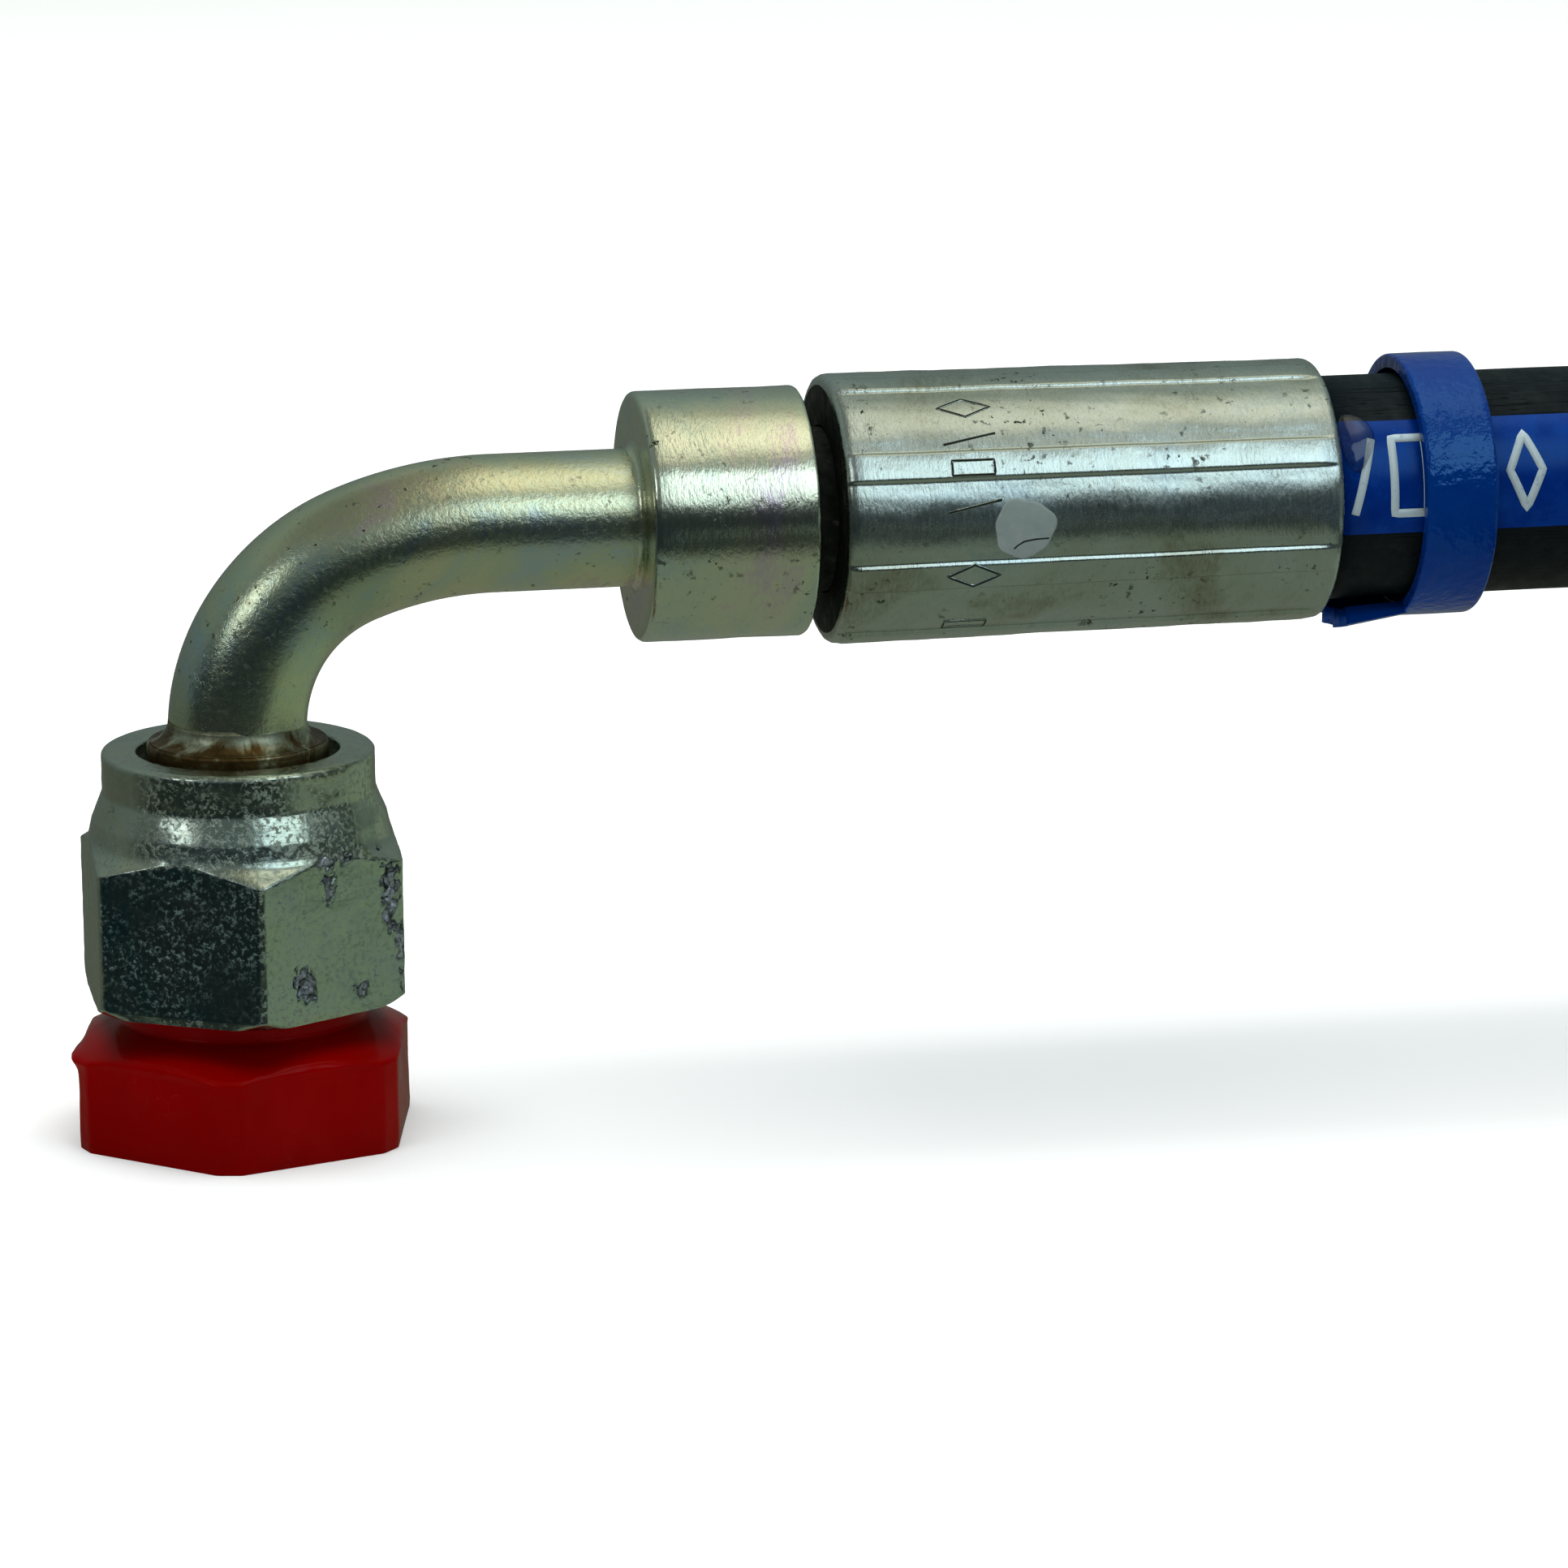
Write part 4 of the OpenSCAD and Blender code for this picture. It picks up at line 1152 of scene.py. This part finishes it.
def make_plug(material):
    """The red plug: a head between two hexagons, a collar, and a hollow stem in the nut."""
    top = span("shipping_plug", 2)[1]
    seat = NUT_MOUTH - 0.4
    angles = full_turn(NUT_SEGMENTS)
    wide = hexagon_radius(angles, PLUG_AF, PLUG_PHASE + math.pi / 6, 160)
    narrow = hexagon_radius(angles, PLUG_CORNER_D, PLUG_PHASE, 160)
    head = soft_min(wide, narrow, 0.1)
    outline = filled_in(rounded([
        (PLUG_CENTRE_R, 0), (PLUG_HEAD_R, 0, 0.15), (PLUG_HEAD_R, plug_top(PLUG_HEAD_R), 0.25),
        (PLUG_COLLAR_R, plug_top(PLUG_COLLAR_R), 0.5), (PLUG_COLLAR_R, seat, 0.2), (PLUG_STEM_R, seat, 0.1),
        (PLUG_STEM_R, top, 0.4), (PLUG_HOLLOW_R, top, 0.2), (PLUG_HOLLOW_R, PLUG_FLOOR, 0.2),
        (PLUG_CENTRE_R, PLUG_FLOOR),
    ]), 0.4)

    def radius(r, z, angles):
        if r < 10.8:
            return np.full(len(angles), r)
        if z < 0.02:
            return np.minimum(r, head)
        lip = LIP_H * bell(z, plug_top(LIP_R), LIP_SPREAD)
        burr = BURR_OUT * bell(z, BURR_Z, BURR_SPREAD) * bell(angles, BURR_SIDE, BURR_WIDTH)
        return soft_min(np.full(len(angles), r), head, 0.2) + (lip + burr) * (r > 12)

    rows = turned_rows(outline, angles, radius)
    outside = (outline[:, :1] > 8.5) & (outline[:, 1:] > 0.3)
    rows = pushed_out(rows, (rough(rows, 4.5, 0.06, 11) + rough(rows, 1.3, 0.015, 12)) * outside)
    piece = Piece()
    piece.grid(rows, close_rows=True)
    return piece.make("moulded_plug", "plug", [material], ["shipping_plug"])


RING_BORE_R, RING_R, RING_W = 8.65, 9.7, 5.4
TONGUE_HALF = math.radians(24)
TONGUE_ROWS = 12


def make_ring(materials):
    """The blue tether ring, with the torn stub of its strap below."""
    left, right = span("tether_ring", 0)
    ring_left = right - RING_W
    piece = Piece()
    outline = filled_in(rounded([
        (RING_BORE_R, 0, 0.1), (RING_R, 0, 0.28), (RING_R + 0.02, RING_W / 2, 3), (RING_R, RING_W, 0.35),
        (RING_BORE_R, RING_W, 0.1),
    ]), 0.5)
    rows = placed(turned_rows(outline, full_turn(TURN_STEPS)), (ring_left, 0, HOSE_AXIS), True)
    piece.grid(rows, close_rows=True)
    add_tongue(piece, left, ring_left + 1)
    return piece.make("strap_ring", "tether_ring", materials, ["tether_ring"])


def add_tongue(piece, left, right):
    """The torn strap: a curved plate under the hose with a jagged free end."""
    across = np.linspace(-TONGUE_HALF, TONGUE_HALF, 33)
    ragged = np.array([noise.noise(Vector((a * 20, 4, 2))) for a in across])
    start = left + np.clip(0.5 + 0.35 * np.sin(across * 23) + 0.3 * ragged, 0.05, 1.1)
    rows = []
    for share in np.linspace(0, 1, TONGUE_ROWS):
        x = start + (right - start) * share
        outer, inner = (
            np.stack([x, -r * np.sin(across), HOSE_AXIS - r * np.cos(across)], 1)
            for r in (10.4 - 0.8 * share, 9.1 - 0.32 * share)
        )
        rows.append(np.concatenate([outer, inner[::-1]]))
    width = len(rows[0])
    count = len(across)
    first = piece.grid(rows, lambda i, k: int(k >= count - 1))
    for base, flip in ((first, False), (first + (len(rows) - 1) * width, True)):
        for i in range(count - 1):
            face = [base + i, base + i + 1, base + width - 2 - i, base + width - 1 - i]
            piece.faces.append(face[::-1] if flip else face)
            piece.paint.append(0)


# The tie's band in section: how far out from the hose, and along it
TIE_SECTION = [(0, -2.3), (0, 2.3), (0.75, 2.5), (1, 2.1), (1, -2.1), (0.75, -2.5)]
TIE_CLEAR = 0.06
# The tie's head and cut tail: thickness, width, height, how far out and how far up each is
TIE_BLOCKS = [(4.9, 6.8, 6, 0, 0), (1.0, 4.2, 3.2, 1.6, 6)]
TIE_HEAD_DROP = 8


def make_tie(name, node, degrees, material):
    """A nylon cable tie round both turns of the coil: a band, its head and a cut tail."""
    way = math.radians(degrees)
    out = np.array([math.sin(way), math.cos(way), 0])
    ahead = np.array([math.cos(way), -math.sin(way), 0])
    centre = np.array([*COIL_CENTRE, 0]) + COIL_R * out
    rows = []
    for level, start in ((UPPER_LEVEL, 0), (FLOOR_LEVEL, math.pi)):
        for a in start + np.linspace(0, math.pi, 25):
            away = out * math.cos(a) + np.array([0, 0, math.sin(a)])
            surface = centre + away * (HOSE_R + TIE_CLEAR) + np.array([0, 0, level])
            rows.append([surface + away * lift + ahead * along for lift, along in TIE_SECTION])
    piece = Piece()
    piece.grid(rows, close_rows=True)
    add_block(piece, centre, out, ahead, HOSE_R + TIE_T - 0.3, UPPER_LEVEL - TIE_HEAD_DROP)
    return piece.make(name, "hose_assembly", [material], [node])


def add_block(piece, centre, out, ahead, reach, base):
    """The tie's locking head, a block with rounded edges, and the stub of its cut tail."""
    for depth, width, height, shift, lift in TIE_BLOCKS:
        rows = []
        for share, inset in [(0, 0.5), (0.08, 0.12), (0.5, 0), (0.92, 0.12), (1, 0.5)]:
            half_depth, half_width = depth / 2 - inset / 2, width / 2 - inset
            ring = []
            for a in full_turn(24):
                x, y = (math.copysign(abs(c) ** 0.25, c) for c in (math.cos(a), math.sin(a)))
                outwards = reach + depth / 2 + x * half_depth + shift
                up = np.array([0, 0, base + lift + share * height])
                ring.append(centre + out * outwards + ahead * y * half_width + up)
            rows.append(ring)
        piece.rod(rows, flip=True)


# ---- the scene

bpy.context.scene.view_settings.view_transform = "Standard"
make_camera()

rubber = rubber_material()
hose_line = Hose()
hose = make_hose(hose_line, rubber, stripe_material())
marks = make_print(hose_line, print_material())

make_lights()
make_world()

tube_zinc = zinc_material("tube_zinc", TUBE_TINTS, rough=(0.16, 0.32), darker_left_of_x=0.011)
collar_zinc = zinc_material("collar_zinc", COLLAR_TINTS, AROUND_X, (0.1, 0.2))
ferrule_zinc = zinc_material("ferrule_zinc", FERRULE_TINTS, AROUND_X, (0.18, 0.32))
nut_zinc = nut_material()
braze = braze_material()
painted_shade_and_scratch = painted_shade_and_scratch_material()
wire = wire_material()
nylon = plastic_material(
    "tie_nylon", (0.008, 0.008, 0.008), (0.014, 0.014, 0.014), (0.06, 0.06, 0.06), 0.4, (0.35, 0.5)
)
red = plastic_material(
    "plug_red", (0.15, 0.0, 0.0), (0.19, 0.0, 0.0), (0.30, 0.02, 0.015), 0.15, (0.1, 0.2),
    specular_ior_level=0.05,
)
blue = plastic_material(
    "ring_blue", (0.0, 0.014, 0.125), (0.0, 0.024, 0.15), (0.03, 0.12, 0.35), 0.2, (0.05, 0.14),
    (1300, 0.0005), specular_ior_level=0.6, specular_tint=BLUE_SHEEN,
)
matt_blue = plastic_material(
    "strap_inside", (0.0, 0.014, 0.12), (0.0, 0.022, 0.14), (0.0, 0.03, 0.2), 0.2, (0.7, 0.9),
    specular_ior_level=0.0,
)

make_glue(hose_line, glue_material())
make_tube(tube_zinc)
make_turned(
    "sealing_sleeve",
    sealing_outline(SLEEVE_L)
    + [(TUBE_HOLE_R, SLEEVE_L, 0), (TUBE_HOLE_R, FACE_Z + 2, 0), (TUBE_BORE, FACE_Z + 2, 0)],
    (0, 0, NUT_MOUTH), [braze], ["elbow_sleeve"],
)


make_turned(
    "braze_fillet", fillet_outline(1.4, 1.6), (0, 0, NUT_MOUTH + SLEEVE_L), [braze],
    ["sleeve_braze"],
)
collar_fillet = [(r, -z) for r, z in fillet_outline(0.6, 0.6)][::-1]
make_turned(
    "collar_fillet", collar_fillet, (STEM_X, 0, HOSE_AXIS), [tube_zinc], ["collar_braze"],
    True,
)
# The rows in the gap behind the collar take the dark second material: painted shade.
make_turned(
    "collar_and_nipple",
    [(TUBE_HOLE_R, 0, 0.1), (COLLAR_R, 0, 0.55), (COLLAR_R, COLLAR_L, 0.35), (LOCK_NECK_R, COLLAR_L, 0.2)]
    + nipple_outline(span("elbow_ferrule", 0)[0] - STEM_X)
    + [(NIPPLE_BORE, SOCKET_L, 0), (TUBE_HOLE_R, SOCKET_L, 0)],
    (STEM_X, 0, HOSE_AXIS), [collar_zinc, painted_shade_and_scratch], ["elbow_stem"], True,
    lambda r, z: z > COLLAR_L - 0.15 and r < COLLAR_R - 0.4,
)
make_ferrule("crimped_ferrule", "elbow_ferrule", 0, HOSE_AXIS, [ferrule_zinc, painted_shade_and_scratch], 3)
make_stamps(ferrule_zinc, painted_shade_and_scratch)
make_paint_dot(paint_material(), painted_shade_and_scratch)
# Tears in the elbow nut's plating: angle, height, half width, half height, depth
TEARS = [
    (-62, 9.7, 0.6, 1.3, 0.22), (-35, 8.4, 0.8, 2.2, 0.22), (-74, 2.9, 1.0, 1.2, 0.22),
    (-48, 1.8, 0.6, 0.7, 0.2), (-31, 4, 0.4, 3.5, 0.12), (-57, 11.6, 1.5, 0.5, 0.1),
]
# The flat at 240 degrees gets painted shade.
make_nut("elbow_swivel_nut", "elbow_nut", "elbow_nut", (0, 0, NUT_MOUTH), False, nut_zinc, [240], TEARS)
make_plug(red)
make_ring([blue, matt_blue])

far_y = middle("far_nut", 1)
far_mouth = span("far_nut", 0)[0]
far_origin = (far_mouth, far_y, FAR_AXIS)
far_base = span("far_ferrule", 0)[0] - far_mouth
shank_top = far_base - 0.6
# The flat at 0 degrees gets painted shade.
make_nut("far_swivel_nut", "far_nut", "far_nut", far_origin, True, nut_zinc, [0], [(60, 6, 1, 1, 0.2)])
make_turned(
    "straight_stem",
    sealing_outline(shank_top) + [(LOCK_NECK_R, shank_top, 0.1)] + nipple_outline(far_base)
    + [(NIPPLE_BORE, FACE_Z + 1, 0)],
    far_origin, [collar_zinc], ["far_stem"], True,
)
make_ferrule("far_crimped_ferrule", "far_ferrule", far_y, FAR_AXIS, [ferrule_zinc, painted_shade_and_scratch], 7)
tie_a = make_tie("nylon_tie_a", "coil_tie_a", 45, nylon)
tie_b = make_tie("nylon_tie_b", "coil_tie_b", 135, nylon)

for end in ("elbow", "far"):
    for layer, material in (("liner", rubber), ("cover", rubber), ("braid", wire)):
        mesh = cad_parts[end + "_" + layer].data
        mesh.materials.clear()
        mesh.materials.append(material)

mesh = bpy.data.meshes.new("floor")
mesh.from_pydata([(-4, -4, 0), (4, -4, 0), (4, 4, 0), (-4, 4, 0)], [], [(0, 1, 2, 3)])
mesh.materials.append(floor_material())
floor = put_in_scene("floor", mesh)
floor.visible_glossy = False
